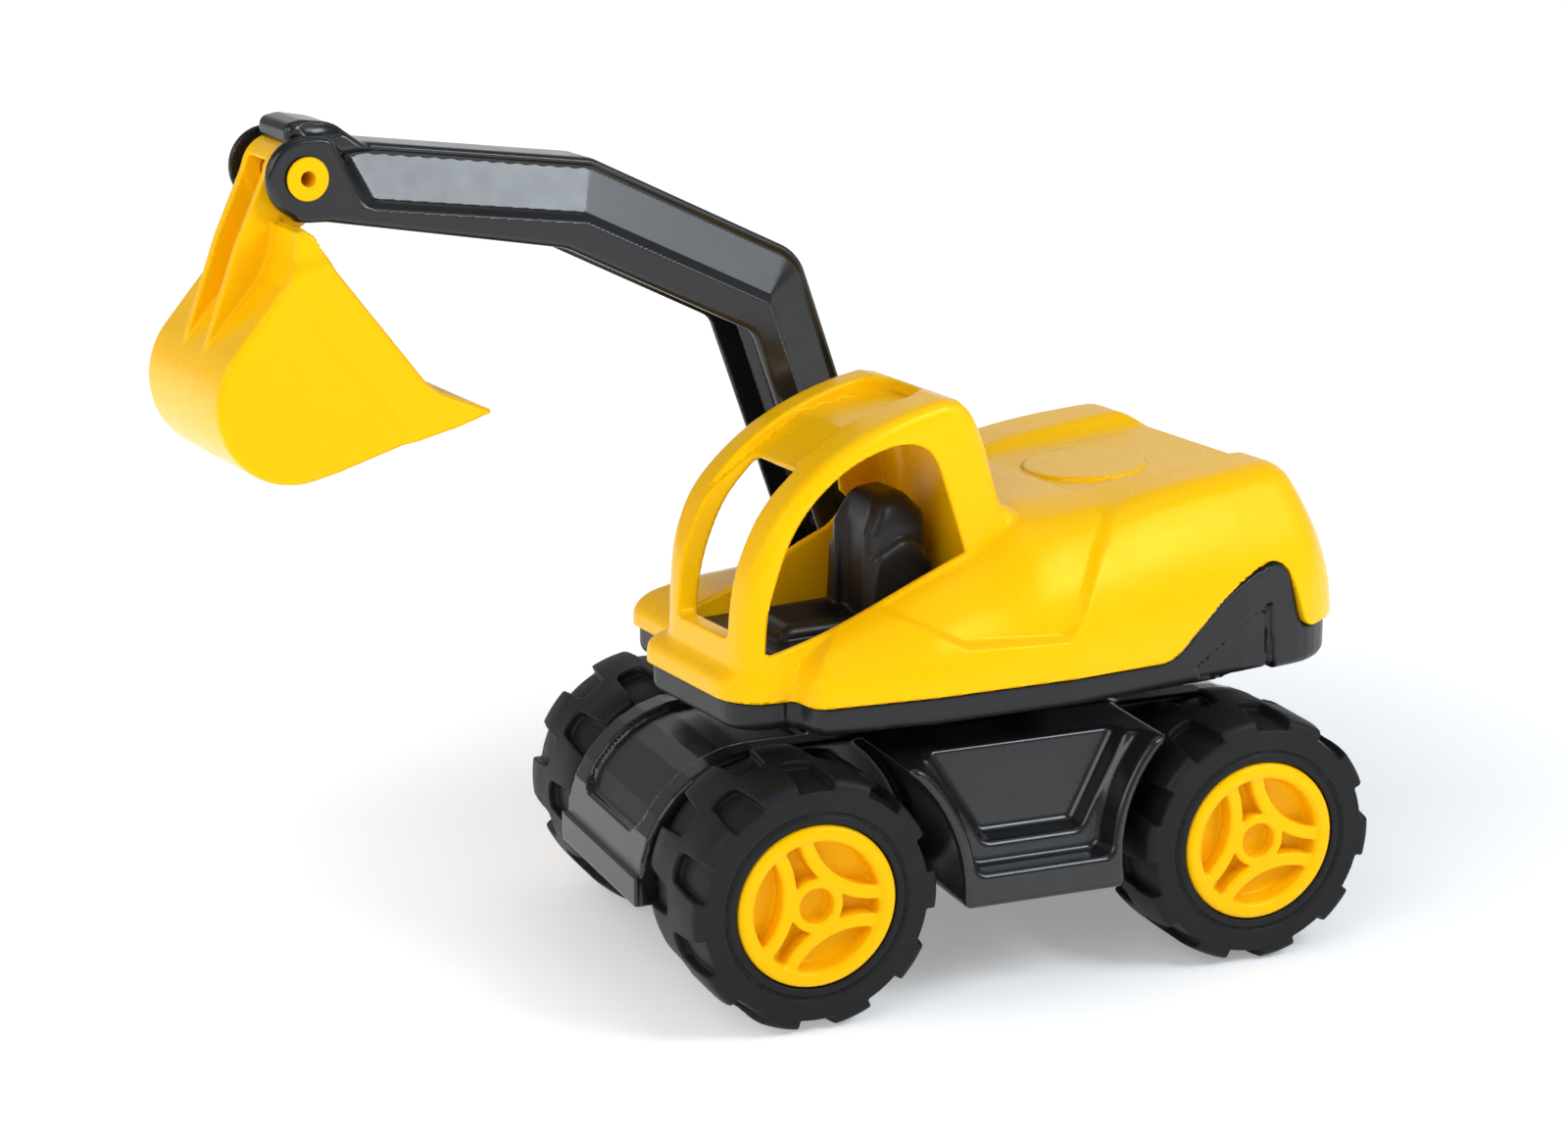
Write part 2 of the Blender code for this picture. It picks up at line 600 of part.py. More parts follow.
def boom_hollow():
    """Space between the two side plates, open below and in front of the boom."""
    leg = Vector(LEG_RUN).normalized()
    behind = Vector((-leg.y, leg.x)) * (ROOT_RADIUS - 3.0)
    low = tuple(Vector(BOOM_PIVOT) + leg * 30 + behind)
    outline = [(-200.0, 231.5), (-165.0, 229.0), (-100.5, 219.6), (-40.0, 188.5), (-34.8, 182.5), low,
               (-60.0, 70.0), (-75.0, 150.0), (-200.0, 170.0)]
    return side_prism("hollow", outline, BOOM_NEAR + BOOM_WALL, BOOM_FAR - BOOM_WALL)


def boom():
    """Channel-shaped arm: two cranked side plates joined by a web along the top and the back."""
    made = side_prism("boom", boom_outline(), BOOM_NEAR, BOOM_FAR)
    cut(made, boom_hollow())
    ear_gap = box("ear_gap", (-200.0, BOOM_NEAR + BOOM_WALL, 205.0), (-164.0, BOOM_FAR - BOOM_WALL, 245.0))
    cut(made, ear_gap)
    tab = rounded([(-180.5, 233.2, 1), (-180.5, 236.0, 1.5), (-176.5, 237.2, 4), (-169.0, 236.0, 6),
                   (-160.0, 229.5, 0), (-165.0, 229.5, 1), (-170.0, 233.2, 3)])
    add(made, side_prism("tab", tab, BOOM_NEAR + 3.4, BOOM_FAR - 3.4))
    reach = 5.0
    for centre, radius in ((BUCKET_PIVOT, PIN_RADIUS), (BOOM_PIVOT, BOOM_PIN_RADIUS)):
        cut(made, cross_cylinder("pin_hole", centre, radius + GAP, BOOM_NEAR - reach, BOOM_FAR + reach, 16))
    recess = [(-160.0, 221.5), (-164.0, 229.0), (-97.0, 219.6), (-42.0, 191.6), (-36.0, 183.0),
              (-27.0, 156.0), (-33.0, 154.0), (-40.5, 174.5), (-46.5, 180.5), (-98.0, 208.0)]
    for low, high in ((BOOM_NEAR - 1.0, BOOM_NEAR + 0.7), (BOOM_FAR - 0.7, BOOM_FAR + 1.0)):
        cut(made, side_prism("side_panel", recess, low, high))
    return made


def bucket_outline():
    """Side outline: round back, lip below the hinge, down the mouth to the cutting edge, and the floor."""
    back = arc(BUCKET_BACK, BUCKET_BACK_RADIUS, *BUCKET_BACK_ARC, 12)
    return back + [(-189.5, 199.0), (-185.3, 206.0), (-184.4, 212.4), (-182.6, 213.0), (-179.0, 211.0),
                   (-174.9, 203.0), (-152.0, 171.5), (-147.5, 168.4), (-133.6, 162.2), (-133.8, 161.4),
                   (-152.0, 156.6)]


def bucket():
    """Scoop with two side plates, hung by a forked lug that turns on the pin."""
    made = side_prism("bucket", bucket_outline(), BUCKET_NEAR, BUCKET_FAR)
    back = arc(BUCKET_BACK, BUCKET_BACK_RADIUS - BUCKET_WALL, *BUCKET_BACK_ARC, 12)
    hollow = back + [(-187.6, 198.6), (-183.0, 206.0), (-181.8, 209.6), (-170.0, 215.0), (-120.0, 190.0),
                     (-120.0, 163.0), (-136.0, 163.0), (-150.5, 159.8)]
    cut(made, side_prism("room", hollow, BUCKET_NEAR + BUCKET_WALL, BUCKET_FAR - BUCKET_WALL))
    rib = arc(BUCKET_PIVOT, KNUCKLE_RADIUS, 0, 168, 8) + [(-194.0, 207.0), (-204.5, 182.0), (-201.0, 182.5),
                                                         (-186.5, 199.5), (-183.4, 208.0), (-178.0, 208.5),
                                                         (-174.5, 212.5)]
    for low, high in ((LUG_NEAR, LUG_NEAR + RIB_THICKNESS), (LUG_FAR - RIB_THICKNESS, LUG_FAR)):
        add(made, side_prism("rib", rib, low, high))
    add(made, cross_cylinder("knuckle", BUCKET_PIVOT, KNUCKLE_RADIUS, LUG_NEAR + 0.5, LUG_FAR - 0.5, 20))
    hole = cross_cylinder("pin_hole", BUCKET_PIVOT, PIN_RADIUS + GAP, LUG_NEAR - 4, LUG_FAR + 4, 20)
    return cut(made, hole)


def bucket_pin():
    """Hollow yellow pin with a rounded head at each end."""
    proud = 1.0
    profile = [
        (BOOM_NEAR - proud, 2.0), (BOOM_NEAR - proud, 4.6), (BOOM_NEAR - GAP, PIN_HEAD_RADIUS),
        (BOOM_NEAR - GAP, PIN_RADIUS), (BOOM_FAR + GAP, PIN_RADIUS), (BOOM_FAR + GAP, PIN_HEAD_RADIUS),
        (BOOM_FAR + proud, 4.6), (BOOM_FAR + proud, 2.0),
    ]
    return turned("bucket_pin", profile, BUCKET_PIVOT, 20)


def boom_pin():
    return cross_cylinder("boom_pin", BOOM_PIVOT, BOOM_PIN_RADIUS, BAY_NEAR + GAP, BAY_FAR - GAP, 16)


# ---------------------------------------------------------------- assembly

def main():
    for leftover in list(bpy.data.objects):
        bpy.data.objects.remove(leftover)

    yellow = material("yellow_plastic", YELLOW, 0.25)
    black = material("black_plastic", BLACK, 0.3)
    rubber = material("tyre_rubber", RUBBER, 0.7)
    steel = material("steel", STEEL, 0.3, 1.0)

    ground = (0.0, 0.0, 0.0)
    chassis = frame("chassis_frame", None, (BASE_X, BASE_Y, 0.0))
    upper = frame("slew_frame", chassis, ground, SLEW_AT_REST)
    boom_origin = (BOOM_PIVOT[0], 0.0, BOOM_PIVOT[1])
    bucket_origin = (BUCKET_PIVOT[0], 0.0, BUCKET_PIVOT[1])
    lift = frame("boom_frame", upper, boom_origin)
    tilt = frame("bucket_frame", lift, Vector(bucket_origin) - Vector(boom_origin))

    finish(chassis_shell(), "chassis_shell", black, chassis, ground)
    finish(swivel_washer(), "swivel_washer", steel, upper, ground)
    finish(swivel_screw(), "swivel_screw", steel, upper, ground)
    finish(base_tray(), "base_tray", black, upper, ground)
    finish(body_shell(), "body_shell", yellow, upper, ground)
    finish(seat(), "seat", black, upper, ground)
    for number, (x, y) in enumerate(SCREW_PLACES, 1):
        finish(body_screw(x, y), f"body_screw_{number}", steel, upper, ground)
    finish(boom_pin(), "boom_pin", steel, upper, ground)
    finish(boom(), "boom", black, lift, boom_origin)
    finish(bucket_pin(), "bucket_pin", yellow, lift, boom_origin)
    finish(bucket(), "bucket", yellow, tilt, bucket_origin)

    for end, place in ((-1, "front"), (1, "rear")):
        spin = frame(f"{place}_axle_frame", chassis, (end * WHEELBASE / 2, 0.0, TYRE_RADIUS))
        finish(axle(), f"{place}_axle", steel, spin, ground)
        for side, hand in ((-1, "left"), (1, "right")):
            finish(rim(side, SPOKE_PHASE), f"{place}_{hand}_rim", yellow, spin, ground)
            finish(tyre(side, TYRE_PHASE), f"{place}_{hand}_tyre", rubber, spin, ground)


main()
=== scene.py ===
"""Toy excavator: the looks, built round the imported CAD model.

Each moulded piece is a distance field in millimetres, skinned to a dense mesh, so that its edges carry the
fillets of a real moulding. Fields of the superstructure, boom and bucket use the superstructure's own axes:
-X forward, Y across, Z up, with the origin on the ground under the slewing axis.
"""

import json
import math

import bpy
import numpy as np
from mathutils import Matrix, Vector

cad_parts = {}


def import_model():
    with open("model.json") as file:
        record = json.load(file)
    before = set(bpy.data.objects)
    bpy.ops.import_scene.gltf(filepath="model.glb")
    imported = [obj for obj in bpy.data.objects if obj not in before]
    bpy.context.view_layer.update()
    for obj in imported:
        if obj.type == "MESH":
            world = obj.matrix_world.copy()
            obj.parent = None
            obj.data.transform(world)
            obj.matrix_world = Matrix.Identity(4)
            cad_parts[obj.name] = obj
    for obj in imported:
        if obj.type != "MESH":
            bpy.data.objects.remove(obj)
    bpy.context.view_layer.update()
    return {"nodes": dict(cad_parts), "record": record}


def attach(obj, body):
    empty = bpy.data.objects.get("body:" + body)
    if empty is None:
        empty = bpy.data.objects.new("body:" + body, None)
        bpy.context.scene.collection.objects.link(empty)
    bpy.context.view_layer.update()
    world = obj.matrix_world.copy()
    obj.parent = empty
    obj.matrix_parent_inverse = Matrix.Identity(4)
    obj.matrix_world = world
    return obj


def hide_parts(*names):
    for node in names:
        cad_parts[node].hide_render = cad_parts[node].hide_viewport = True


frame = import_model()

MM = 0.001

JOINTS = {joint["name"]: joint for joint in frame["record"]["behaviour"]["joints"]}
SLEW_AXIS = JOINTS["slew"]["pos_m"]
ACROSS = JOINTS["boom_lift"]["axis"]
SLEW_TURN = math.atan2(-ACROSS[0], ACROSS[1])

# From millimetres on the chassis or the superstructure to metres in the frame.
UNDER_AXIS = Matrix.Translation((SLEW_AXIS[0], SLEW_AXIS[1], 0))
CHASSIS = UNDER_AXIS @ Matrix.Scale(MM, 4)
UPPER = UNDER_AXIS @ Matrix.Rotation(SLEW_TURN, 4, "Z") @ Matrix.Scale(MM, 4)


def pivot_of(joint):
    """(x, y, z) of a joint in the superstructure's axes, in millimetres."""
    return UPPER.inverted() @ Vector(JOINTS[joint]["pos_m"])


BOOM_PIVOT = pivot_of("boom_lift")
BUCKET_PIVOT = pivot_of("bucket_tilt")


# ---------------------------------------------------------------- distance fields

def outline_distance(outline, u, v):
    """Signed distance from (u, v) to a closed outline, negative inside."""
    u, v = np.broadcast_arrays(u, v)
    nearest = np.full(u.shape, np.inf)
    inside = np.zeros(u.shape, bool)
    for (u0, v0), (u1, v1) in zip(outline, outline[1:] + outline[:1]):
        du, dv = u1 - u0, v1 - v0
        length = du * du + dv * dv
        if length < 1e-12:
            continue
        share = np.clip(((u - u0) * du + (v - v0) * dv) / length, 0, 1)
        nearest = np.minimum(nearest, (u - u0 - share * du) ** 2 + (v - v0 - share * dv) ** 2)
        if v0 != v1:
            inside ^= ((v0 > v) != (v1 > v)) & (u < u0 + (v - v0) * du / dv)
    return np.where(inside, -1, 1) * np.sqrt(nearest)


def slab(t, low, high):
    """Negative between low and high."""
    return np.maximum(low - t, t - high)


def from_pin(pivot, x, z):
    """Distance from the line that runs across the machine through a pivot."""
    return np.hypot(x - pivot.x, z - pivot.z)


def join(a, b, fillet=0.0):
    """Union, with a round fillet in the corner."""
    if not fillet:
        return np.minimum(a, b)
    corner = np.hypot(np.maximum(fillet - a, 0), np.maximum(fillet - b, 0))
    return np.maximum(fillet, np.minimum(a, b)) - corner


def meet(a, b, radius=0.0):
    """Intersection, with its edge rounded."""
    return -join(-a, -b, radius)


def carve(a, b, radius=0.0):
    """a with b taken away."""
    return -join(-a, b, radius)


def step_up(t, low, high):
    """0 below low, 1 above high, smooth between."""
    t = np.clip((t - low) / (high - low), 0, 1)
    return t * t * (3 - 2 * t)


def arc(centre, radius, start, end, steps=24):
    """Points on a circle, with the angles in degrees."""
    return [(centre[0] + radius * math.cos(math.radians(start + (end - start) * i / steps)),
             centre[1] + radius * math.sin(math.radians(start + (end - start) * i / steps)))
            for i in range(steps + 1)]


def curve(points, steps=6):
    """Points along a smooth curve through the given points."""
    p = [np.array(q, float) for q in points]
    p = [2 * p[0] - p[1]] + p + [2 * p[-1] - p[-2]]
    result = []
    for a, b, c, d in zip(p, p[1:], p[2:], p[3:]):
        for k in range(steps):
            t = k / steps
            q = b + 0.5 * t * (c - a + t * (2 * a - 5 * b + 4 * c - d + t * (3 * (b - c) + d - a)))
            result.append((float(q[0]), float(q[1])))
    return result + [tuple(map(float, p[-2]))]


def rounded(corners, steps=8):
    """Closed outline through corners given as (u, v, radius)."""
    points = []
    for i, (u, v, radius) in enumerate(corners):
        here = Vector((u, v))
        if radius <= 0:
            points.append((u, v))
            continue
        before = (Vector(corners[i - 1][:2]) - here).normalized()
        after = (Vector(corners[(i + 1) % len(corners)][:2]) - here).normalized()
        half = before.angle(after) / 2
        middle = here + (before + after).normalized() * radius / math.sin(half)
        first = here + before * radius / math.tan(half) - middle
        last = here + after * radius / math.tan(half) - middle
        turn = first.angle_signed(last)
        for k in range(steps + 1):
            points.append(tuple(middle + Matrix.Rotation(-turn * k / steps, 2) @ first))
    return points


MOST_PULL = 0.6  # of a grid cell, in one round on the grid's own values
LAST_PULL = 0.4  # of a grid cell, in the closing round on the exact field


def skin(name, field, low, high, step):
    """Dense quad mesh of the surface where field(x, y, z) is zero, in millimetres.

    Every grid cell that the surface crosses gets one vertex, and every crossed grid edge one quad. The
    vertices are then pulled onto the surface. The steps keep each piece under 100,000 quads.
    """
    axes = [np.arange(a - 2 * step, b + 3 * step, step) for a, b in zip(low, high)]
    x, y, z = np.meshgrid(*axes, indexing="ij", sparse=True)
    values = np.array(np.broadcast_to(field(x, y, z), [len(a) for a in axes]), np.float32)
    inside = values < 0
    cells = [n - 1 for n in inside.shape]
    total = np.zeros(cells, np.int8)
    for corner in np.ndindex(2, 2, 2):
        total += inside[tuple(slice(c, c + n) for c, n in zip(corner, cells))]
    mixed = (total > 0) & (total < 8)
    number = np.full(cells, -1, np.int64)
    number[mixed] = np.arange(np.count_nonzero(mixed))
    cell = np.argwhere(mixed)
    place = np.zeros((len(cell), 3))
    count = np.zeros((len(cell), 1))
    for axis in range(3):
        unit = np.eye(3, dtype=int)[axis]
        for corner in np.ndindex(2, 2, 2):
            if corner[axis]:
                continue
            start = cell + corner
            a = values[tuple(start.T)]
            b = values[tuple((start + unit).T)]
            crosses = (a < 0) != (b < 0)
            share = np.where(crosses, a / np.where(crosses, a - b, 1), 0)
            place += np.where(crosses[:, None], np.array(corner) + share[:, None] * unit, 0)
            count += crosses[:, None]
    points = cell + place / count
    faces = []
    for axis in range(3):
        b, c = (axis + 1) % 3, (axis + 2) % 3
        near = np.take(inside, range(cells[axis]), axis)
        far = np.take(inside, range(1, cells[axis] + 1), axis)
        for solid_first, changes in ((True, near & ~far), (False, far & ~near)):
            edge = np.argwhere(changes)
            loop = []
            for back in ((1, 1), (0, 1), (0, 0), (1, 0)):
                around = edge.copy()
                around[:, b] -= back[0]
                around[:, c] -= back[1]
                loop.append(number[tuple(around.T)])
            quad = np.stack(loop, 1)
            faces.append(quad if solid_first else quad[:, ::-1])
    faces = np.concatenate(faces)
    gradient = np.gradient(values)
    for _ in range(3):
        value = sample(values, points)
        slope = np.stack([sample(g, points) for g in gradient], 1)
        size = np.maximum((slope * slope).sum(1), 0.1 * step * step)
        points -= np.clip(slope * (value / size)[:, None], -MOST_PULL, MOST_PULL)
    made = mesh_object(name, points * step + np.array([a[0] for a in axes]), faces)
    settle(made.data, field, step)
    return made


def settle(mesh, field, step):
    """Moves the vertices onto the surface and gives them the field's own normals."""
    points = np.empty(3 * len(mesh.vertices), np.float32)
    mesh.vertices.foreach_get("co", points)
    points = points.reshape(-1, 3).astype(float)
    value, slope = slope_at(field, points)
    size = np.maximum((slope * slope).sum(1), 0.1)
    points -= np.clip(slope * (value / size)[:, None], -LAST_PULL * step, LAST_PULL * step)
    mesh.vertices.foreach_set("co", points.astype(np.float32).ravel())
    slope = slope_at(field, points)[1]
    length = np.maximum(np.linalg.norm(slope, axis=1), 1e-6)
    mesh.normals_split_custom_set_from_vertices(slope / length[:, None])


def slope_at(field, points, reach=0.3):
    """The field's value and its gradient at each point."""
    value = field(*points.T)
    ahead = [field(*(points + reach * unit).T) for unit in np.eye(3)]
    return value, np.stack([(each - value) / reach for each in ahead], 1)


def sample(grid, points):
    """Grid values at points between the grid's own, in grid cells."""
    base = np.clip(points.astype(int), 0, np.array(grid.shape) - 2)
    part = points - base
    result = np.zeros(len(points))
    for corner in np.ndindex(2, 2, 2):
        weight = np.prod(np.where(corner, part, 1 - part), axis=1)
        result += weight * grid[tuple((base + corner).T)]
    return result


def mesh_object(name, points, faces):
    mesh = bpy.data.meshes.new(name)
    mesh.vertices.add(len(points))
    mesh.vertices.foreach_set("co", np.ascontiguousarray(points, np.float32).ravel())
    mesh.loops.add(faces.size)
    mesh.loops.foreach_set("vertex_index", np.ascontiguousarray(faces, np.int32).ravel())
    mesh.polygons.add(len(faces))
    mesh.polygons.foreach_set("loop_start", np.arange(0, faces.size, faces.shape[1], dtype=np.int32))
    mesh.update(calc_edges=True)
    mesh.validate()
    made = bpy.data.objects.new(name, mesh)
    bpy.context.scene.collection.objects.link(made)
    made.data.shade_smooth()
    return made


def place(piece, matrix, material, slot, body, *nodes):
    """Puts a piece where its body is, gives it its finish, and hides the CAD nodes it stands for."""
    piece.data.transform(matrix)
    piece.data.materials.clear()
    piece.data.materials.append(material)
    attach(piece, body)
    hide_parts(*nodes)
    return piece


# ---------------------------------------------------------------- superstructure

SHELL_BOTTOM = 85.5
TRAY_BOTTOM = 77.0
TRAY_INSET = 1.8
WALL = 2.4
CAB_NEAR, CAB_FAR = -38.5, 12.0
CAB_MIDDLE = (CAB_NEAR + CAB_FAR) / 2
CAB_HALF = (CAB_FAR - CAB_NEAR) / 2
CAB_WALL = 2.6
POST_WIDTH = 12.0
RAIL_DEPTH = 7.4  # of the round rails, in the cab's side view
ROOF_THICKNESS = 5.6
DECK_START = 19.0
DECK_HALF = 31.0
DECK_HEIGHT = 125.4
DECK_RISE = 0.042  # for each millimetre towards the rear
BANK_WIDTH, BANK_HEIGHT = 9.5, 6.0  # of the slope round the sunk deck
OVAL_X, OVAL_Y = 45.0, -3.0
OVAL_LENGTH, OVAL_WIDTH = 17.5, 17.0  # half sizes
OVAL_HEIGHT = 1.0
FLANK_DEPTH = 1.9  # of the panel sunk into each flank
BAY_NEAR, BAY_FAR = 14.5, 47.0  # the slot that the boom stands in
BAY_FRONT, BAY_REAR = -31.0, 4.0
PIN_BORE = 3.3  # for the boom's root pin
LUG_RADIUS = 8.5  # of the two lugs that hold that pin
SEAM = 0.35  # between the tray and the shell, and under the tray

# Seen from above, as (x, y, corner radius).
PLAN = rounded([
    (-86.5, 15.5, 5), (-86.5, -38.5, 13), (-70.6, -38.5, 3), (-69.6, -49.5, 5.5), (-36.0, -56.5, 30),
    (5.0, -61.3, 30), (60.0, -62.0, 30), (98.5, -60.0, 21), (98.5, 60.0, 21), (60.0, 62.0, 30),
    (5.0, 61.3, 30), (-36.0, 56.5, 30), (-72.8, 49.5, 7), (-73.6, 15.5, 3),
])

# Heights of the flanks' upper edges, as (x, z). Both sides share the tail.
TAIL = [
    (28.0, 127.6), (40.0, 129.1), (55.0, 130.4), (70.0, 131.4), (78.0, 131.6), (86.0, 130.6), (98.0, 127.0),
]
NEAR_TOP = curve([
    (-90, 95.0), (-80.0, 95.2), (-71.0, 98.4), (-62.9, 101.3), (-50.4, 105.3), (-31.7, 112.2),
    (-16.5, 117.8), (-7.0, 123.6), (1.0, 126.6), (17.0, 127.2),
] + TAIL)
FAR_TOP = curve([
    (-90, 95.0), (-76.0, 95.0), (-66.0, 97.3), (-55.0, 99.2), (-36.0, 100.0), (-25.0, 101.5),
    (-14.0, 113.0), (-6.0, 122.5), (1.0, 126.6), (17.0, 127.2),
] + TAIL)
SHOULDER_DROP = [(-30, 0.0), (-10, 3.0), (2, 3.0), (18, 1.8), (35, 0.5), (50, 0.0)]

# How far the flanks lean in at their upper edge, as (x, distance), and the height at which they start to.
LEAN = [(-80, 5.0), (-60, 11.0), (-30, 16.0), (0, 15.5), (21, 15.5), (98, 15.5)]
LEAN_START = 88.0

# Side views, as (x, z).
FLANK_RECESS = [
    (-60.0, 118.0), (-54.0, 110.0), (-47.0, 107.6), (-37.0, 102.9), (-27.5, 97.3), (1.3, 96.0), (5.5, 99.5),
    (10.4, 107.5), (16.5, 116.2), (24.5, 124.6), (38.0, 131.0), (38.0, 150.0), (-60.0, 150.0),
]
ARCH = curve([
    (31.0, 84.9), (37.0, 87.6), (43.6, 93.4), (53.5, 101.2), (63.0, 106.3), (69.8, 107.9), (74.2, 105.2),
    (76.6, 99.0), (79.0, 91.0), (81.8, 88.6), (87.0, 88.8),
]) + [(120.0, 89.0), (120.0, 40.0), (31.0, 40.0)]
ROOF = curve([
    (-84.2, 70.0), (-84.2, 84.0), (-84.2, 94.0), (-83.6, 103.0), (-82.2, 112.5), (-79.8, 121.5),
    (-74.2, 132.6), (-66.6, 140.9), (-56.0, 148.5), (-43.5, 154.3), (-31.0, 158.0), (-22.0, 159.6),
]) + curve([
    (-17.2, 158.6), (-13.2, 154.4), (-9.6, 146.4), (-7.2, 138.4), (-4.2, 129.6), (0.8, 121.0), (0.8, 70.0),
])
DOOR = curve([
    (-77.2, 98.8), (-76.4, 109.0), (-73.7, 119.0), (-69.3, 129.0), (-62.8, 137.2), (-54.0, 143.9),
    (-45.6, 147.6), (-36.7, 149.3), (-30.0, 148.0), (-25.7, 143.8), (-22.6, 136.0), (-16.6, 118.0),
]) + curve([(-16.9, 117.6), (-31.7, 112.2), (-50.4, 105.2), (-62.9, 101.2), (-76.0, 98.2)])
WINDOW = curve([
    (-76.5, 102.0), (-76.2, 109.0), (-73.6, 119.0), (-69.2, 129.0), (-62.6, 137.0), (-54.0, 143.7),
    (-45.6, 147.6), (-36.7, 149.3), (-32.0, 148.6), (-29.3, 144.0), (-28.4, 136.0), (-27.0, 126.0),
]) + curve([(-24.5, 123.6), (-27.6, 119.6), (-31.5, 116.4), (-40.0, 113.0), (-58.0, 104.8), (-74.0, 99.8)])
WINDSCREEN = [
    (-110.0, 101.4), (-70.0, 101.4), (-50.5, 130.5), (-63.3, 148.0), (-66.0, 170.0), (-110.0, 170.0),
]


def line_height(line, x):
    """The line's height, or whatever its second numbers are, at x."""
    xs = np.array([p[0] for p in line])
    zs = np.array([p[1] for p in line])
    return np.interp(x, xs, zs)


def body_form(x, y, z):
    """The superstructure's yellow form without its cab: solid, because nothing of its inside can be seen."""
    near_top = line_height(NEAR_TOP, x)
    far_top = line_height(FAR_TOP, x)
    top = near_top + (far_top - near_top) * step_up(y, CAB_FAR - 4, CAB_FAR + 6)
    top = top - line_height(SHOULDER_DROP, x) * step_up(np.abs(y), 27, 46)
    rise = np.clip((z - LEAN_START) / np.maximum(top - LEAN_START, 8.0), 0, 1.3)
    side = outline_distance(PLAN, x, y) + line_height(LEAN, x) * rise ** 2.2
    # The factors below bring the slope of each leaning field back to about one.
    side = side * 0.85 + FLANK_DEPTH * step_up(-outline_distance(FLANK_RECESS, x, z), -0.5, 2.0)
    made = meet(side, (z - top) * 0.93, 4.0)
    recess = rounded([(DECK_START, -DECK_HALF, 6), (DECK_START, DECK_HALF, 6), (140.0, DECK_HALF, 0),
                      (140.0, -DECK_HALF, 0)])
    bank = np.clip(-outline_distance(recess, x, y) / BANK_WIDTH, 0, 1)
    deck = DECK_HEIGHT + (x - DECK_START) * DECK_RISE
    front = step_up(x, DECK_START, DECK_START + 3.0)
    sunk = np.maximum(DECK_START + 1.0 - x, deck + (1 - bank * front) ** 1.6 * BANK_HEIGHT - z)
    made = carve(made, sunk * 0.9, 1.2)
    pad = (np.hypot((x - OVAL_X) / OVAL_LENGTH, (y - OVAL_Y) / OVAL_WIDTH) - 1) * 16.0
    oval = meet(pad, slab(z, 110.0, deck + OVAL_HEIGHT), 0.6)
    return join(made, oval, 0.4)


def cab_form(x, y, z):
    """The cab's outer form, with round rails and a roof panel set in between them."""
    profile = outline_distance(ROOF, x, z)
    across = np.abs(y - CAB_MIDDLE) - CAB_HALF
    front = outline_distance(rounded([(-84.4, CAB_NEAR, 12), (60.0, CAB_NEAR, 0), (60.0, CAB_FAR, 0),
                                      (-84.4, CAB_FAR, 12)]), x, y)
    made = meet(meet(profile, across, 5.0), front, 3.0)
    middle = np.abs(y - CAB_MIDDLE - 1.8) - (CAB_HALF - POST_WIDTH - 0.6)
    rear = x + 19.0
    crease = np.maximum(z - 151.6 - (x + 45.0) * 0.155, z - 151.6 - (x + 45.0) * 0.62)
    panel = meet(meet(middle, rear, 9.0), -crease)
    return carve(made, panel, 1.0)


def cab_room(x, y, z):
    """The space inside the cab, wide between the side walls and higher between the rails."""
    profile = outline_distance(ROOF, x, z)
    across = np.abs(y - CAB_MIDDLE)
    wide = meet(profile + RAIL_DEPTH, across - (CAB_HALF - CAB_WALL), 3.0)
    high = meet(profile + ROOF_THICKNESS, across - (CAB_HALF - POST_WIDTH), 2.0)
    room = join(wide, high, 2.0)
    rear_wall = [(-120, 60), (-120, 200), (-29.0, 200), (-15.0, 150.5), (-11.6, 100.0), (-11.6, 60)]
    rear = outline_distance(rear_wall, x, z)
    return meet(room, rear, 3.0)


def body_shell():
    def field(x, y, z):
        mass = body_form(x, y, z)
        cab = cab_form(x, y, z)
        made = join(mass, cab, 2.2)
        made = meet(made, SHELL_BOTTOM - z, 0.6)
        made = carve(made, meet(cab_room(x, y, z), 40.0 - z), 0.5)
        door = outline_distance(DOOR, x, z)
        made = carve(made, meet(door, y - CAB_MIDDLE + 6.0), 0.8)
        window = outline_distance(WINDOW, x, z)
        made = carve(made, meet(window, slab(y, CAB_MIDDLE + 6.0, CAB_FAR + 4.0)), 0.8)
        screen = outline_distance(WINDSCREEN, x, z)
        opening = meet(screen, slab(y, CAB_NEAR + POST_WIDTH, CAB_FAR - POST_WIDTH), 2.0)
        made = carve(made, opening, 0.9)
        bay = rounded([(BAY_FRONT, BAY_NEAR, 3), (BAY_REAR, BAY_NEAR, 3), (BAY_REAR, BAY_FAR, 3),
                       (BAY_FRONT, BAY_FAR, 3)])
        made = carve(made, outline_distance(bay, x, y), 0.8)
        return carve(made, outline_distance(ARCH, x, z), 0.6)

    return skin("body_shell", field, (-88, -63, 85), (99, 63, 160), 0.96)


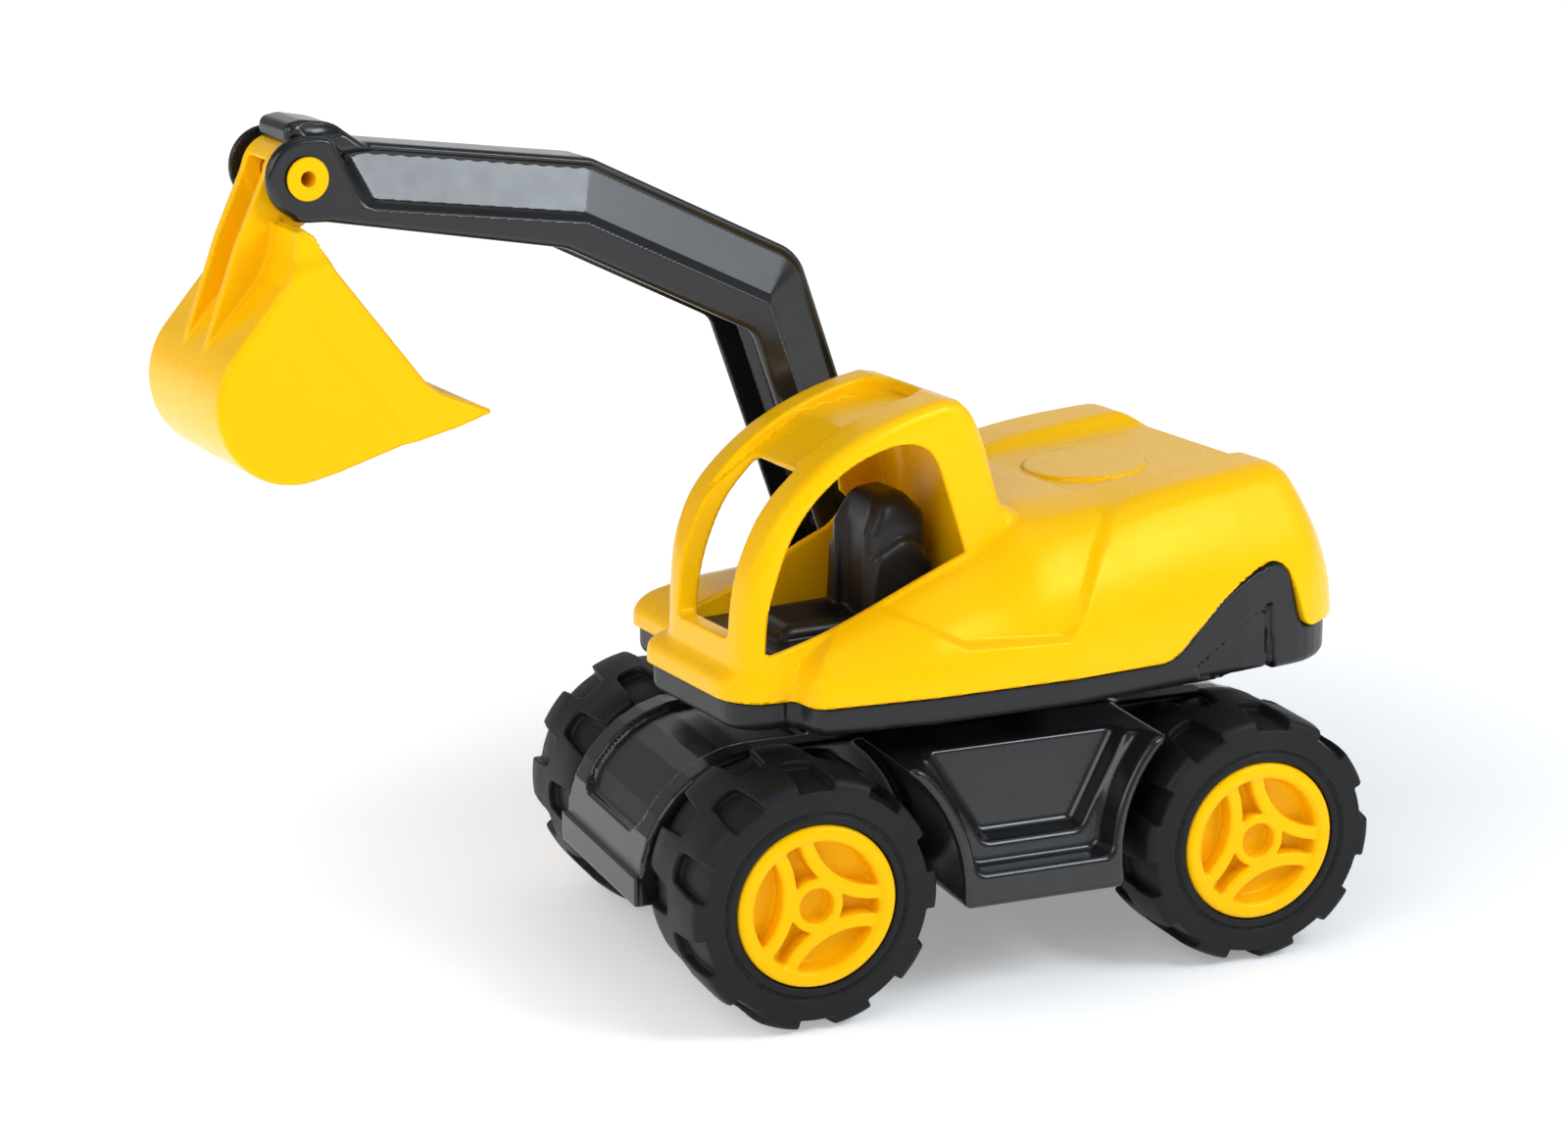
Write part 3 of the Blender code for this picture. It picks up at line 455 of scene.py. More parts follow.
def base_tray():
    def field(x, y, z):
        plan = outline_distance(PLAN, x, y) + TRAY_INSET
        crease = 0.5 * (1 - step_up(np.abs(x + 70.5), 0.3, 1.4)) * (y < 0)
        arch = outline_distance(ARCH, x, z) + SEAM
        top = np.minimum(z - (SHELL_BOTTOM - SEAM), arch)
        made = meet(plan + crease, TRAY_BOTTOM - z, 3.5)
        made = meet(made, top, 0.5)
        # A triangle and a groove pressed into each side under the arch.
        hatch = outline_distance(rounded([(67.0, 97.5, 3), (38.0, 79.5, 3), (70.0, 75.0, 0)]), x, z)
        notch = outline_distance([(66.8, 96.5), (68.6, 96.5), (71.5, 70.0), (69.0, 70.0)], x, z)
        made = made + 0.9 * step_up(-hatch, 0.0, 0.8) * (np.abs(y) > 50)
        made = made + 1.2 * step_up(-notch, -0.3, 0.5) * (np.abs(y) > 50)
        hollow = meet(plan + WALL + 1.0, TRAY_BOTTOM + WALL - z)
        made = carve(made, hollow, 0.5)
        lug_line = arc((BOOM_PIVOT.x, BOOM_PIVOT.z), LUG_RADIUS, 180, 0)
        lug_line += [(BOOM_PIVOT.x + 14.0, 78.0), (BOOM_PIVOT.x - 12.0, 78.0)]
        lug = outline_distance(lug_line, x, z)
        lugs = np.minimum(slab(y, 14.85, 16.65), slab(y, 44.85, 46.65))
        lug = meet(lug, lugs, 0.4)
        bore = from_pin(BOOM_PIVOT, x, z) - (PIN_BORE + 0.05)
        return join(made, carve(lug, bore, 0.3), 0.8)

    return skin("base_tray", field, (-86, -61, 77), (98, 61, 120), 1.0)


# Side views of the seat, as (x, z, corner radius).
SEAT_CUSHION = rounded([(-66.0, 94.0, 0), (-65.0, 101.0, 4), (-34.0, 100.0, 2), (-34.0, 94.0, 0)])
SEAT_BACK = rounded([
    (-39.0, 96.0, 0), (-38.2, 122.0, 4), (-33.4, 132.0, 5), (-25.0, 132.4, 5), (-19.5, 126.0, 4),
    (-18.0, 96.0, 0),
])
SEAT_BOLSTER = rounded([
    (-39.0, 94.0, 0), (-37.5, 116.5, 4), (-27.0, 121.5, 5), (-18.5, 113.0, 4), (-17.6, 94.0, 0),
])


def seat():
    def field(x, y, z):
        across = np.abs(y - CAB_MIDDLE)
        floor_plate = meet(slab(x, -73.0, -15.0), meet(across - 21.4, slab(z, 94.5, 97.0), 0.5), 2.0)
        cushion = meet(outline_distance(SEAT_CUSHION, x, z), across - 11.5, 2.5)
        dish = np.hypot(across / 10.0, (z - 107.0) / 9.5) - 1
        cushion = carve(cushion, meet(dish * 9.0, slab(x, -60.0, -20.0)), 1.5)
        crown = across - 10.8 + np.maximum(z - 122.0, 0) ** 2 * 0.03
        back = meet(outline_distance(SEAT_BACK, x, z), crown, 4.0)
        bolster = meet(outline_distance(SEAT_BOLSTER, x, z), slab(across, 7.6, 12.6), 2.2)
        hollow = meet(across - 6.2, x + 35.6, 2.0)
        back = carve(back, hollow, 1.5)
        return join(join(join(floor_plate, cushion, 1.0), back, 1.0), bolster, 1.0)

    return skin("seat", field, (-74, -36, 94), (-12, 10, 133), 0.6)


# ---------------------------------------------------------------- boom and bucket

BOOM_NEAR, BOOM_FAR = 17.0, 44.5
BOOM_MIDDLE = (BOOM_NEAR + BOOM_FAR) / 2
BOOM_HALF = (BOOM_FAR - BOOM_NEAR) / 2
BOOM_WALL = 2.6
EAR_RADIUS = 10.4
ROOT_RADIUS = 11.4
BORE = 4.3  # for the bucket pin, in the boom and the bucket
EAR_START = -164.5  # the bucket hangs between the boom's ears in front of this
PIN_RADIUS, PIN_HOLLOW, HEAD_RADIUS = 4.0, 1.9, 5.6

# The boom's side view, as (x, z, corner radius), from the bucket end to the root along the top, and back.
UPPER_LINE = [
    (BUCKET_PIVOT.x + 1.5, BUCKET_PIVOT.z + 10.2, 6), (-160.5, 231.2, 4), (-94.0, 221.3, 9),
    (-31.5, 190.2, 14), (-4.7, 114.0, 0),
]
LOWER_LINE = [
    (-26.2, 106.2, 0), (-49.3, 171.0, 6), (-105.0, 199.2, 12),
    (BUCKET_PIVOT.x - 2.2, BUCKET_PIVOT.z - 10.2, 0),
]
BOOM_LINE = rounded(UPPER_LINE + LOWER_LINE)
BELOW_TOP = rounded(UPPER_LINE + [(200.0, -100.0, 0), (-400.0, -100.0, 0), (-400.0, 260.0, 0)])
BOOM_HOLLOW = rounded([
    (-240.0, 226.0, 0), (-162.0, 228.4, 3), (-95.5, 218.5, 9), (-35.4, 187.6, 12), (-7.5, 110.0, 0),
    (-24.0, 60.0, 0), (-60.0, 60.0, 0), (-110.0, 150.0, 0), (-240.0, 150.0, 0),
])
BOOM_TAB = rounded([
    (-180.6, 231.8, 1.6), (-180.2, 237.2, 2.4), (-175.5, 238.0, 4), (-167.0, 236.4, 8), (-157.0, 229.0, 0),
    (-166.0, 228.4, 0), (-171.5, 231.8, 2),
])

# The boom's cross-section: half widths, and depths below the top line.
TOP_HALF = 6.9
PANEL_START = 2.6
PANEL_WIDTH = 11.6
PANEL_SLOPE = 0.36
LEDGE_WIDTH = 3.2
LEDGE_START, LEDGE_END = 13.6, 17.0


def boom():
    def field(x, y, z):
        across = np.abs(y - BOOM_MIDDLE)
        ear = from_pin(BUCKET_PIVOT, x, z) - EAR_RADIUS
        root = from_pin(BOOM_PIVOT, x, z) - ROOT_RADIUS
        side = join(join(outline_distance(BOOM_LINE, x, z), ear, 3.0), root, 3.0)
        depth = -outline_distance(BELOW_TOP, x, z)
        sloped = TOP_HALF + np.clip(depth - PANEL_START, 0, PANEL_WIDTH) * PANEL_SLOPE
        sloped = sloped + 0.9 * step_up(-depth, -PANEL_START, -0.6)
        ledge = LEDGE_WIDTH * step_up(depth, LEDGE_START, LEDGE_END)
        tip = 1 - step_up(x + (z - 224.0) * 0.45, -167.0, -160.5)
        half = np.minimum((sloped + ledge) * (1 - tip) + BOOM_HALF * tip, BOOM_HALF)
        made = meet(side, (across - half) * 0.93, 1.6)
        hollow_half = np.maximum(half - BOOM_WALL, 2.5)
        hollow = meet(outline_distance(BOOM_HOLLOW, x, z), across - hollow_half, 1.0)
        made = carve(made, hollow, 0.5)
        gap = meet(across - (BOOM_HALF - BOOM_WALL), x - EAR_START, 2.0)
        made = carve(made, gap, 0.5)
        tab = meet(outline_distance(BOOM_TAB, x, z), across - 9.6, 2.0)
        scoop = ((x + 169.5) / 8.6) ** 2 + ((across - 11.6) / 3.8) ** 2 + ((z - 236.4) / 4.2) ** 2
        tab = carve(tab, (np.sqrt(scoop) - 1) * 3.6, 0.4)
        made = join(made, tab, 1.0)
        made = carve(made, from_pin(BUCKET_PIVOT, x, z) - BORE, 0.3)
        return carve(made, from_pin(BOOM_PIVOT, x, z) - PIN_BORE, 0.3)

    return skin("boom", field, (-188, 16.5, 98), (-3, 45, 241), 0.7)


BUCKET_NEAR, BUCKET_FAR = 4.3, 57.2
BUCKET_MIDDLE = (BUCKET_NEAR + BUCKET_FAR) / 2
BUCKET_HALF = (BUCKET_FAR - BUCKET_NEAR) / 2
BUCKET_WALL = 3.2
BAND_HEIGHT = 1.9  # of the raised band along each side of the mouth
KNUCKLE_RADIUS = 8.6
RIB_INSIDE, RIB_OUTSIDE = 5.6, 8.15  # from the boom's middle
SCOOP_CENTRE = (-186.2, 169.9)
SCOOP_RADIUS = 21.3

# Side views, as (x, z).
SCOOP_LINE = arc(SCOOP_CENTRE, SCOOP_RADIUS, 282, 142) + [
    (-188.4, 199.5), (-185.2, 206.0), (-184.4, 212.6), (-182.4, 213.2), (-179.4, 211.5), (-177.6, 208.0),
    (-175.2, 202.8), (-151.6, 171.6), (-148.0, 168.6), (-133.8, 162.3), (-133.6, 161.3), (-142.7, 158.6),
    (-153.4, 156.4), (-175.8, 150.3),
]
SCOOP_HOLLOW = arc(SCOOP_CENTRE, SCOOP_RADIUS - 2.6, 282, 142) + [
    (-186.0, 199.0), (-182.6, 206.0), (-181.4, 216.0), (-110.0, 216.0), (-110.0, 164.6), (-134.0, 162.6),
    (-153.4, 159.0), (-175.8, 153.0),
]
MOUTH = [
    (-192.5, 203.0), (-188.8, 198.6), (-157.0, 158.2), (-153.4, 150.0), (-120.0, 150.0), (-120.0, 215.0),
]
RIB_LINE = arc((BUCKET_PIVOT.x, BUCKET_PIVOT.z), KNUCKLE_RADIUS, 10, 165) + [
    (-194.0, 208.1), (-203.0, 184.5), (-204.6, 178.0), (-200.5, 181.0), (-187.0, 199.0), (-184.0, 208.0),
    (-179.0, 209.5), (-175.5, 211.5),
]


def bucket():
    def field(x, y, z):
        across = np.abs(y - BUCKET_MIDDLE)
        band = step_up(-outline_distance(MOUTH, x, z), -2.4, 2.4)
        half = BUCKET_HALF - BAND_HEIGHT + BAND_HEIGHT * band
        made = meet(outline_distance(SCOOP_LINE, x, z), across - half, 1.8)
        hollow = meet(outline_distance(SCOOP_HOLLOW, x, z), across - (BUCKET_HALF - BUCKET_WALL), 1.5)
        made = carve(made, hollow, 0.5)
        from_middle = np.abs(y - BOOM_MIDDLE)
        ribs = slab(from_middle, RIB_INSIDE, RIB_OUTSIDE)
        made = join(made, meet(outline_distance(RIB_LINE, x, z), ribs, 0.6), 0.8)
        knuckle = from_pin(BUCKET_PIVOT, x, z) - KNUCKLE_RADIUS
        cap = meet(-3.2 - knuckle, BUCKET_PIVOT.z + 4.0 - z)
        knuckle = meet(knuckle, np.minimum(ribs, np.maximum(cap, from_middle - 6.0)), 0.8)
        made = join(made, knuckle, 0.8)
        return carve(made, from_pin(BUCKET_PIVOT, x, z) - BORE, 0.3)

    return skin("bucket", field, (-209, 4, 148), (-133, 58, 236), 0.7)


def bucket_pin():
    """Hollow pin with a low head on each side of the boom."""
    def field(x, y, z):
        radius = from_pin(BUCKET_PIVOT, x, z)
        across = np.abs(y - BOOM_MIDDLE)
        shank = meet(radius - PIN_RADIUS, across - (BOOM_HALF + 0.6))
        head = meet(radius - HEAD_RADIUS, slab(across, BOOM_HALF + 0.3, BOOM_HALF + 1.35), 0.5)
        return carve(join(shank, head), radius - PIN_HOLLOW, 0.5)

    low = (BUCKET_PIVOT.x - 6, BOOM_NEAR - 2, BUCKET_PIVOT.z - 6)
    high = (BUCKET_PIVOT.x + 6, BOOM_FAR + 2, BUCKET_PIVOT.z + 6)
    return skin("bucket_pin", field, low, high, 0.3)


# ---------------------------------------------------------------- chassis and wheels

TYRE_RADIUS = 35.0
TYRE_WIDTH = 35.0
TREAD_FLAT = 8.0  # half width of the flat middle of the tread
TREAD_CROWN = 0.012
GROOVE_RADIUS = 25.2  # of the ring on the tyre's side
HALF_TRACK = 66.5
HALF_BASE = 65.0
AXLE_BORE = 2.35
BEARING_RADIUS = 5.5
RING_RADIUS = 29.0  # of the turntable
SPIGOT_BORE = 9.35
RIM_RADIUS = 22.2
RIM_WIDTH = 33.5
RIM_FLOOR = 6.5  # how deep the spokes' floor lies
HUB_RADIUS, HUB_HOLE, HUB_DEPTH = 7.4, 4.8, 5.9
BOW_PLACE, BOW_RADIUS, BOW_HALF = 29.6, 21.8, 1.9  # of the spokes: arcs about points outside the rim
LUGS = 10
LUG_DEPTH = 2.6
SPOKE_MIDDLE = 8.0  # degrees
REAR_TURN = 6.0  # degrees that the rear wheels have rolled on from the front ones
WHEEL_ARCH = 41.5
CORE_HALF_WIDTH = 30.0
CORE_BOTTOM, CORE_TOP = 27.5, 67.0
CORE_END = 101.0
PANEL_DEPTH = 2.0
STEP_BOTTOM, STEP_TOP = 28.5, 68.0
STEP_REACH = 68.8
STEP_LEAN = 0.13
OUTER_RECESS, INNER_RECESS = 7.5, 13.0  # how deep the step's two nested recesses go


def chassis_shell():
    def tub(x, y, z):
        """One side step, mirrored about both middle planes: a leaning face with two nested recesses."""
        along = np.abs(x)
        arch = np.maximum(WHEEL_ARCH - np.hypot(along - HALF_BASE, z - TYRE_RADIUS), along - 50.0)
        into = STEP_REACH - (z - STEP_BOTTOM) * STEP_LEAN - np.abs(y)
        made = meet(meet(arch, slab(z, STEP_BOTTOM, STEP_TOP), 2.5), -into, 2.0)
        wide = meet(arch + 3.4 + into * 0.2, 37.8 - z, 3.0)
        made = carve(made, meet(wide, into - OUTER_RECESS, 1.5), 1.3)
        funnel = rounded([(-36.5, 80.0, 0), (-14.4, 43.2, 4), (14.4, 43.2, 4), (36.5, 80.0, 0)])
        narrow = outline_distance(funnel, x, z) + (into - OUTER_RECESS) * 0.3
        made = carve(made, meet(narrow, into - INNER_RECESS, 1.5), 1.2)
        return meet(made, into - 45.0)

    def field(x, y, z):
        along = np.abs(x)
        out = np.abs(y)
        nose_line = rounded([(-CORE_END, 20.0, 0), (-CORE_END, CORE_TOP, 34), (CORE_END, CORE_TOP, 34),
                             (CORE_END, 20.0, 0)])
        nose = outline_distance(nose_line, x, z)
        made = meet(meet(nose, CORE_BOTTOM - z, 0.5), out - CORE_HALF_WIDTH, 1.2)
        panel = meet(meet(out - 21.0, 45.0 - z, 6.0), 50.0 - along)
        made = carve(made, meet(panel, -PANEL_DEPTH - nose, 0.8), 0.8)
        bumper = meet(slab(along, 90.0, 102.4), slab(z, CORE_BOTTOM, 36.2), 0.7)
        bumper = meet(bumper, out - CORE_HALF_WIDTH, 0.8)
        made = join(made, bumper, 0.3)
        made = join(made, tub(x, y, z), 2.0)
        inside = nose + WALL + PANEL_DEPTH
        hollow = meet(meet(inside, out - (CORE_HALF_WIDTH - WALL)), z - (CORE_TOP - WALL - PANEL_DEPTH))
        ring = meet(np.hypot(x, y) - RING_RADIUS, slab(z, 60.0, TRAY_BOTTOM - SEAM), 0.6)
        made = carve(join(made, ring, 1.5), hollow, 0.5)
        pivot = meet(np.hypot(x, y) - SPIGOT_BORE, 50.0 - z)
        made = carve(made, pivot, 0.3)
        axle = np.hypot(along - HALF_BASE, z - TYRE_RADIUS)
        wall = slab(out, CORE_HALF_WIDTH - WALL, CORE_HALF_WIDTH + 2.8)
        bearing = meet(axle - BEARING_RADIUS, wall, 0.8)
        made = join(made, bearing, 0.8)
        return carve(made, axle - AXLE_BORE, 0.3)

    return skin("chassis_shell", field, (-103, -69, 27), (103, 69, 78), 0.96)


def tyre_field(x, y, z):
    """Tyre about the Y axis, with its outer side towards +Y."""
    radius = np.hypot(x, z)
    angle = np.arctan2(z, x)
    across = y - (HALF_TRACK - TYRE_WIDTH / 2)
    tread = TYRE_RADIUS - np.maximum(np.abs(across) - TREAD_FLAT, 0) ** 2 * TREAD_CROWN
    made = meet(radius - tread, np.abs(across) - TYRE_WIDTH / 2, 1.8)
    for side in (-1, 1):
        # The two rows of lugs alternate.
        turn = angle * LUGS + (math.pi if side < 0 else 0) - math.radians(270.0) * LUGS - math.pi
        wave = np.abs((turn / math.tau - np.floor(turn / math.tau)) - 0.5) * 2
        edge = (wave - 0.5) * math.pi * TYRE_RADIUS / LUGS
        taper = (side * across - 17.0) * 0.10
        pocket = meet(edge - taper, 1.0 - side * across, 2.4)
        pocket = meet(pocket, tread - LUG_DEPTH - radius, 0.6)
        made = carve(made, pocket, 0.5)
    bead = np.abs(np.abs(across) - TYRE_WIDTH / 2) - 0.5
    groove = meet(np.abs(radius - GROOVE_RADIUS) - 0.5, bead)
    made = carve(made, groove, 0.4)
    return carve(made, radius - (RIM_RADIUS + 0.3), 0.5)


def rim_field(x, y, z):
    """Rim about the Y axis, open towards +Y, with three bowed spokes round a blind hub."""
    outer = HALF_TRACK + 0.5
    floor = outer - RIM_FLOOR
    radius = np.hypot(x, z)
    made = meet(radius - RIM_RADIUS, slab(y, outer - RIM_WIDTH, outer), 1.8)
    cup = meet(radius - (RIM_RADIUS - 4.4 - (outer - y) * 0.08), floor - y, 1.5)
    made = carve(made, cup, 1.5)
    spokes = radius - HUB_RADIUS
    for k in range(3):
        middle = math.radians(SPOKE_MIDDLE + 120 * k)
        bow = np.hypot(x - math.cos(middle) * BOW_PLACE, z - math.sin(middle) * BOW_PLACE)
        bow = np.abs(bow - BOW_RADIUS) - BOW_HALF
        spokes = join(spokes, meet(bow, radius - (RIM_RADIUS - 2.0)), 0.8)
    made = join(made, meet(spokes, slab(y, floor - 1.0, outer - 0.9), 0.9), 0.9)
    made = carve(made, meet(radius - HUB_HOLE, outer - HUB_DEPTH - y, 0.8), 0.8)
    back = meet(meet(radius - (RIM_RADIUS - 2.4), 5.0 - radius), y - (floor - 3.0))
    made = carve(made, back, 0.8)
    return carve(made, meet(radius - AXLE_BORE, y - (floor - 0.6)), 0.2)


# ---------------------------------------------------------------- materials

GRAIN_DEPTH = 0.00005  # metres
FINE, COARSE = 2500.0, 900.0  # noise scales, in cells for each metre
BLACK_TONES = ((0.007, 0.0073, 0.008), (0.010, 0.0104, 0.0113))
SATIN_TONES = ((0.007, 0.0073, 0.008), (0.010, 0.0103, 0.011))
TYRE_TONES = ((0.007, 0.0075, 0.0082), (0.011, 0.0115, 0.0123))
YELLOW_TONES = ((0.94, 0.505, 0.001), (0.95, 0.52, 0.002))
STEEL_TONES = ((0.55, 0.55, 0.57), (0.6, 0.6, 0.62))


def nodes_of(name):
    material = bpy.data.materials.new(name)
    material.use_nodes = True
    tree = material.node_tree
    return material, tree, tree.nodes["Principled BSDF"]


def noise(tree, scale, detail=3.0, roughness=0.5):
    where = tree.nodes.new("ShaderNodeTexCoord")
    made = tree.nodes.new("ShaderNodeTexNoise")
    made.inputs["Scale"].default_value = scale
    made.inputs["Detail"].default_value = detail
    made.inputs["Roughness"].default_value = roughness
    tree.links.new(where.outputs["Object"], made.inputs["Vector"])
    return made.outputs["Fac"]


def spread(tree, value, low, high):
    """The noise value remapped to run from low to high."""
    made = tree.nodes.new("ShaderNodeMapRange")
    made.inputs["From Min"].default_value = 0.3
    made.inputs["From Max"].default_value = 0.7
    made.inputs["To Min"].default_value = low
    made.inputs["To Max"].default_value = high
    tree.links.new(value, made.inputs["Value"])
    return made.outputs["Result"]


def bump(tree, shader, value, strength, distance):
    made = tree.nodes.new("ShaderNodeBump")
    made.inputs["Strength"].default_value = strength
    made.inputs["Distance"].default_value = distance
    tree.links.new(value, made.inputs["Height"])
    tree.links.new(made.outputs["Normal"], shader.inputs["Normal"])


def mottled(tree, shader, first, second, scale):
    """Base colour that drifts slightly between two tones."""
    mix = tree.nodes.new("ShaderNodeMix")
    mix.data_type = "RGBA"
    mix.inputs["A"].default_value = (*first, 1)
    mix.inputs["B"].default_value = (*second, 1)
    tree.links.new(spread(tree, noise(tree, scale), 0.0, 1.0), mix.inputs["Factor"])
    tree.links.new(mix.outputs["Result"], shader.inputs["Base Color"])


def plastic(name, tones, rough, grain, strength, specular=0.5):
    """Moulded plastic: two close tones, slightly uneven gloss and a faint grain."""
    material, tree, shader = nodes_of(name)
    mottled(tree, shader, *tones, 22.0)
    gloss = spread(tree, noise(tree, 160.0), rough - 0.03, rough + 0.04)
    tree.links.new(gloss, shader.inputs["Roughness"])
    shader.inputs["Specular IOR Level"].default_value = specular
    bump(tree, shader, noise(tree, grain, 2.0), strength, GRAIN_DEPTH)
    return material, shader


YELLOW, yellow_shader = plastic("yellow_plastic", YELLOW_TONES, 0.28, COARSE, 0.05, 0.45)
yellow_shader.inputs["Specular Tint"].default_value = (1.0, 0.72, 0.12, 1)
BLACK, _ = plastic("black_gloss_plastic", BLACK_TONES, 0.2, COARSE, 0.05)
SATIN, _ = plastic("black_satin_plastic", SATIN_TONES, 0.36, FINE, 0.25, 0.35)
TYRE, _ = plastic("tyre_plastic", TYRE_TONES, 0.5, FINE, 0.35, 0.2)
STEEL, steel_shader = plastic("steel", STEEL_TONES, 0.3, 1500.0, 0.1)
steel_shader.inputs["Metallic"].default_value = 1.0


# ---------------------------------------------------------------- assembly

place(body_shell(), UPPER, YELLOW, "yellow_plastic", "superstructure", "body_shell")
place(base_tray(), UPPER, SATIN, "black_satin_plastic", "superstructure", "base_tray")
place(seat(), UPPER, SATIN, "black_satin_plastic", "superstructure", "seat")
place(boom(), UPPER, BLACK, "black_gloss_plastic", "boom", "boom")
place(bucket(), UPPER, YELLOW, "yellow_plastic", "bucket", "bucket")
place(bucket_pin(), UPPER, YELLOW, "yellow_plastic", "boom", "bucket_pin")
place(chassis_shell(), CHASSIS, BLACK, "black_gloss_plastic", "chassis", "chassis_shell")

TYRE_BOX = (-TYRE_RADIUS, HALF_TRACK - TYRE_WIDTH, -TYRE_RADIUS), (TYRE_RADIUS, HALF_TRACK, TYRE_RADIUS)
RIM_BOX = (-23, HALF_TRACK - 34, -23), (23, HALF_TRACK + 1, 23)
WHEEL_PARTS = (
    (skin("tyre", tyre_field, *TYRE_BOX, 0.6), "tyre", TYRE, "tyre_plastic"),
    (skin("rim", rim_field, *RIM_BOX, 0.5), "rim", YELLOW, "yellow_plastic"),
)
for end, end_name in ((-1, "front"), (1, "rear")):
    for side, side_name in ((-1, "left"), (1, "right")):
        axle = CHASSIS @ Matrix.Translation((end * HALF_BASE, 0, TYRE_RADIUS))
        if end > 0:
            axle = axle @ Matrix.Rotation(math.radians(REAR_TURN), 4, "Y")
        if side < 0:
            axle = axle @ Matrix.Rotation(math.pi, 4, "Z")
        for pattern, kind, material, slot in WHEEL_PARTS:
            copy = pattern.copy()
            copy.data = pattern.data.copy()
            copy.name = f"{end_name}_{side_name}_{kind}_look"
            bpy.context.scene.collection.objects.link(copy)
            place(copy, axle, material, slot, f"{end_name}_wheels", f"{end_name}_{side_name}_{kind}")
for pattern, *_ in WHEEL_PARTS:
    bpy.data.objects.remove(pattern)

# The CAD's own screws, axles and root pin stay as they are, in steel.
for name, node in frame["nodes"].items():
    if "screw" in name or "axle" in name or name in ("boom_pin", "swivel_washer"):
        node.data.materials.clear()
        node.data.materials.append(STEEL)


# ---------------------------------------------------------------- floor, light and camera

FLOOR_HALF = 40.0  # metres
SHADE_CENTRE = (0.13, 0.05, 0.0)  # centre of the painted shadow, where the floor is dimmest
SHADE_START, SHADE_END = 0.07, 0.45
SHADE_GLOW, FLOOR_GLOW = 0.27, 0.8
BACKDROP = Vector((0.45, 0.85, 0.22)).normalized()
COOL = (0.86, 0.94, 1.0)
CENTRE = (0.0, 0.0, 0.1)

# Name, target, azimuth and elevation in degrees, distance, size, watts, tint.
LIGHTS = (
    ("key", CENTRE, -136, 34, 1.4, 0.8, 6.0, (1.0, 1.0, 1.0)),
    ("strip", (-0.05, 0.0, 0.22), -49, 26, 0.7, 0.25, 2.1, COOL),
    ("strip_end", (-0.05, 0.0, 0.2), -31, 18, 0.7, 0.25, 0.75, COOL),
    ("front", CENTRE, 176, 24, 1.4, 0.8, 3.8, (1.0, 1.0, 1.0)),
    ("top", CENTRE, -30, 75, 1.4, 0.8, 1.6, (1.0, 1.0, 1.0)),
)


def floor():
    """White floor that glows, less so under the toy, where its shadow falls: the dip in its glow is a
    painted shadow.
    """
    h = FLOOR_HALF
    mesh = bpy.data.meshes.new("floor")
    mesh.from_pydata([(-h, -h, 0), (h, -h, 0), (h, h, 0), (-h, h, 0)], [], [(0, 1, 2, 3)])
    made = bpy.data.objects.new("floor", mesh)
    bpy.context.scene.collection.objects.link(made)
    material, tree, shader = nodes_of("floor")
    shader.inputs["Base Color"].default_value = (0.85, 0.85, 0.85, 1)
    shader.inputs["Roughness"].default_value = 0.8
    where = tree.nodes.new("ShaderNodeTexCoord")
    reach = tree.nodes.new("ShaderNodeVectorMath")
    reach.operation = "DISTANCE"
    reach.inputs[1].default_value = SHADE_CENTRE
    # Painted shadow: the glow rises from SHADE_GLOW near SHADE_CENTRE to FLOOR_GLOW further out.
    glow = tree.nodes.new("ShaderNodeMapRange")
    glow.interpolation_type = "SMOOTHSTEP"
    glow.inputs["From Min"].default_value = SHADE_START
    glow.inputs["From Max"].default_value = SHADE_END
    glow.inputs["To Min"].default_value = SHADE_GLOW
    glow.inputs["To Max"].default_value = FLOOR_GLOW
    shader.inputs["Emission Color"].default_value = (1, 1, 1, 1)
    tree.links.new(where.outputs["Object"], reach.inputs[0])
    tree.links.new(reach.outputs["Value"], glow.inputs["Value"])
    tree.links.new(glow.outputs["Result"], shader.inputs["Emission Strength"])
    mesh.materials.append(material)


def softbox(name, target, azimuth, elevation, distance, size, power, tint):
    """Square light that looks at a target from an azimuth and elevation in degrees."""
    target = Vector(target)
    turn, lift = math.radians(azimuth), math.radians(elevation)
    toward = Vector((math.cos(lift) * math.cos(turn), math.cos(lift) * math.sin(turn), math.sin(lift)))
    data = bpy.data.lights.new(name, "AREA")
    data.size = size
    data.energy = power
    data.color = tint
    made = bpy.data.objects.new(name, data)
    made.location = target + toward * distance
    made.rotation_euler = toward.to_track_quat("Z", "Y").to_euler()
    bpy.context.scene.collection.objects.link(made)


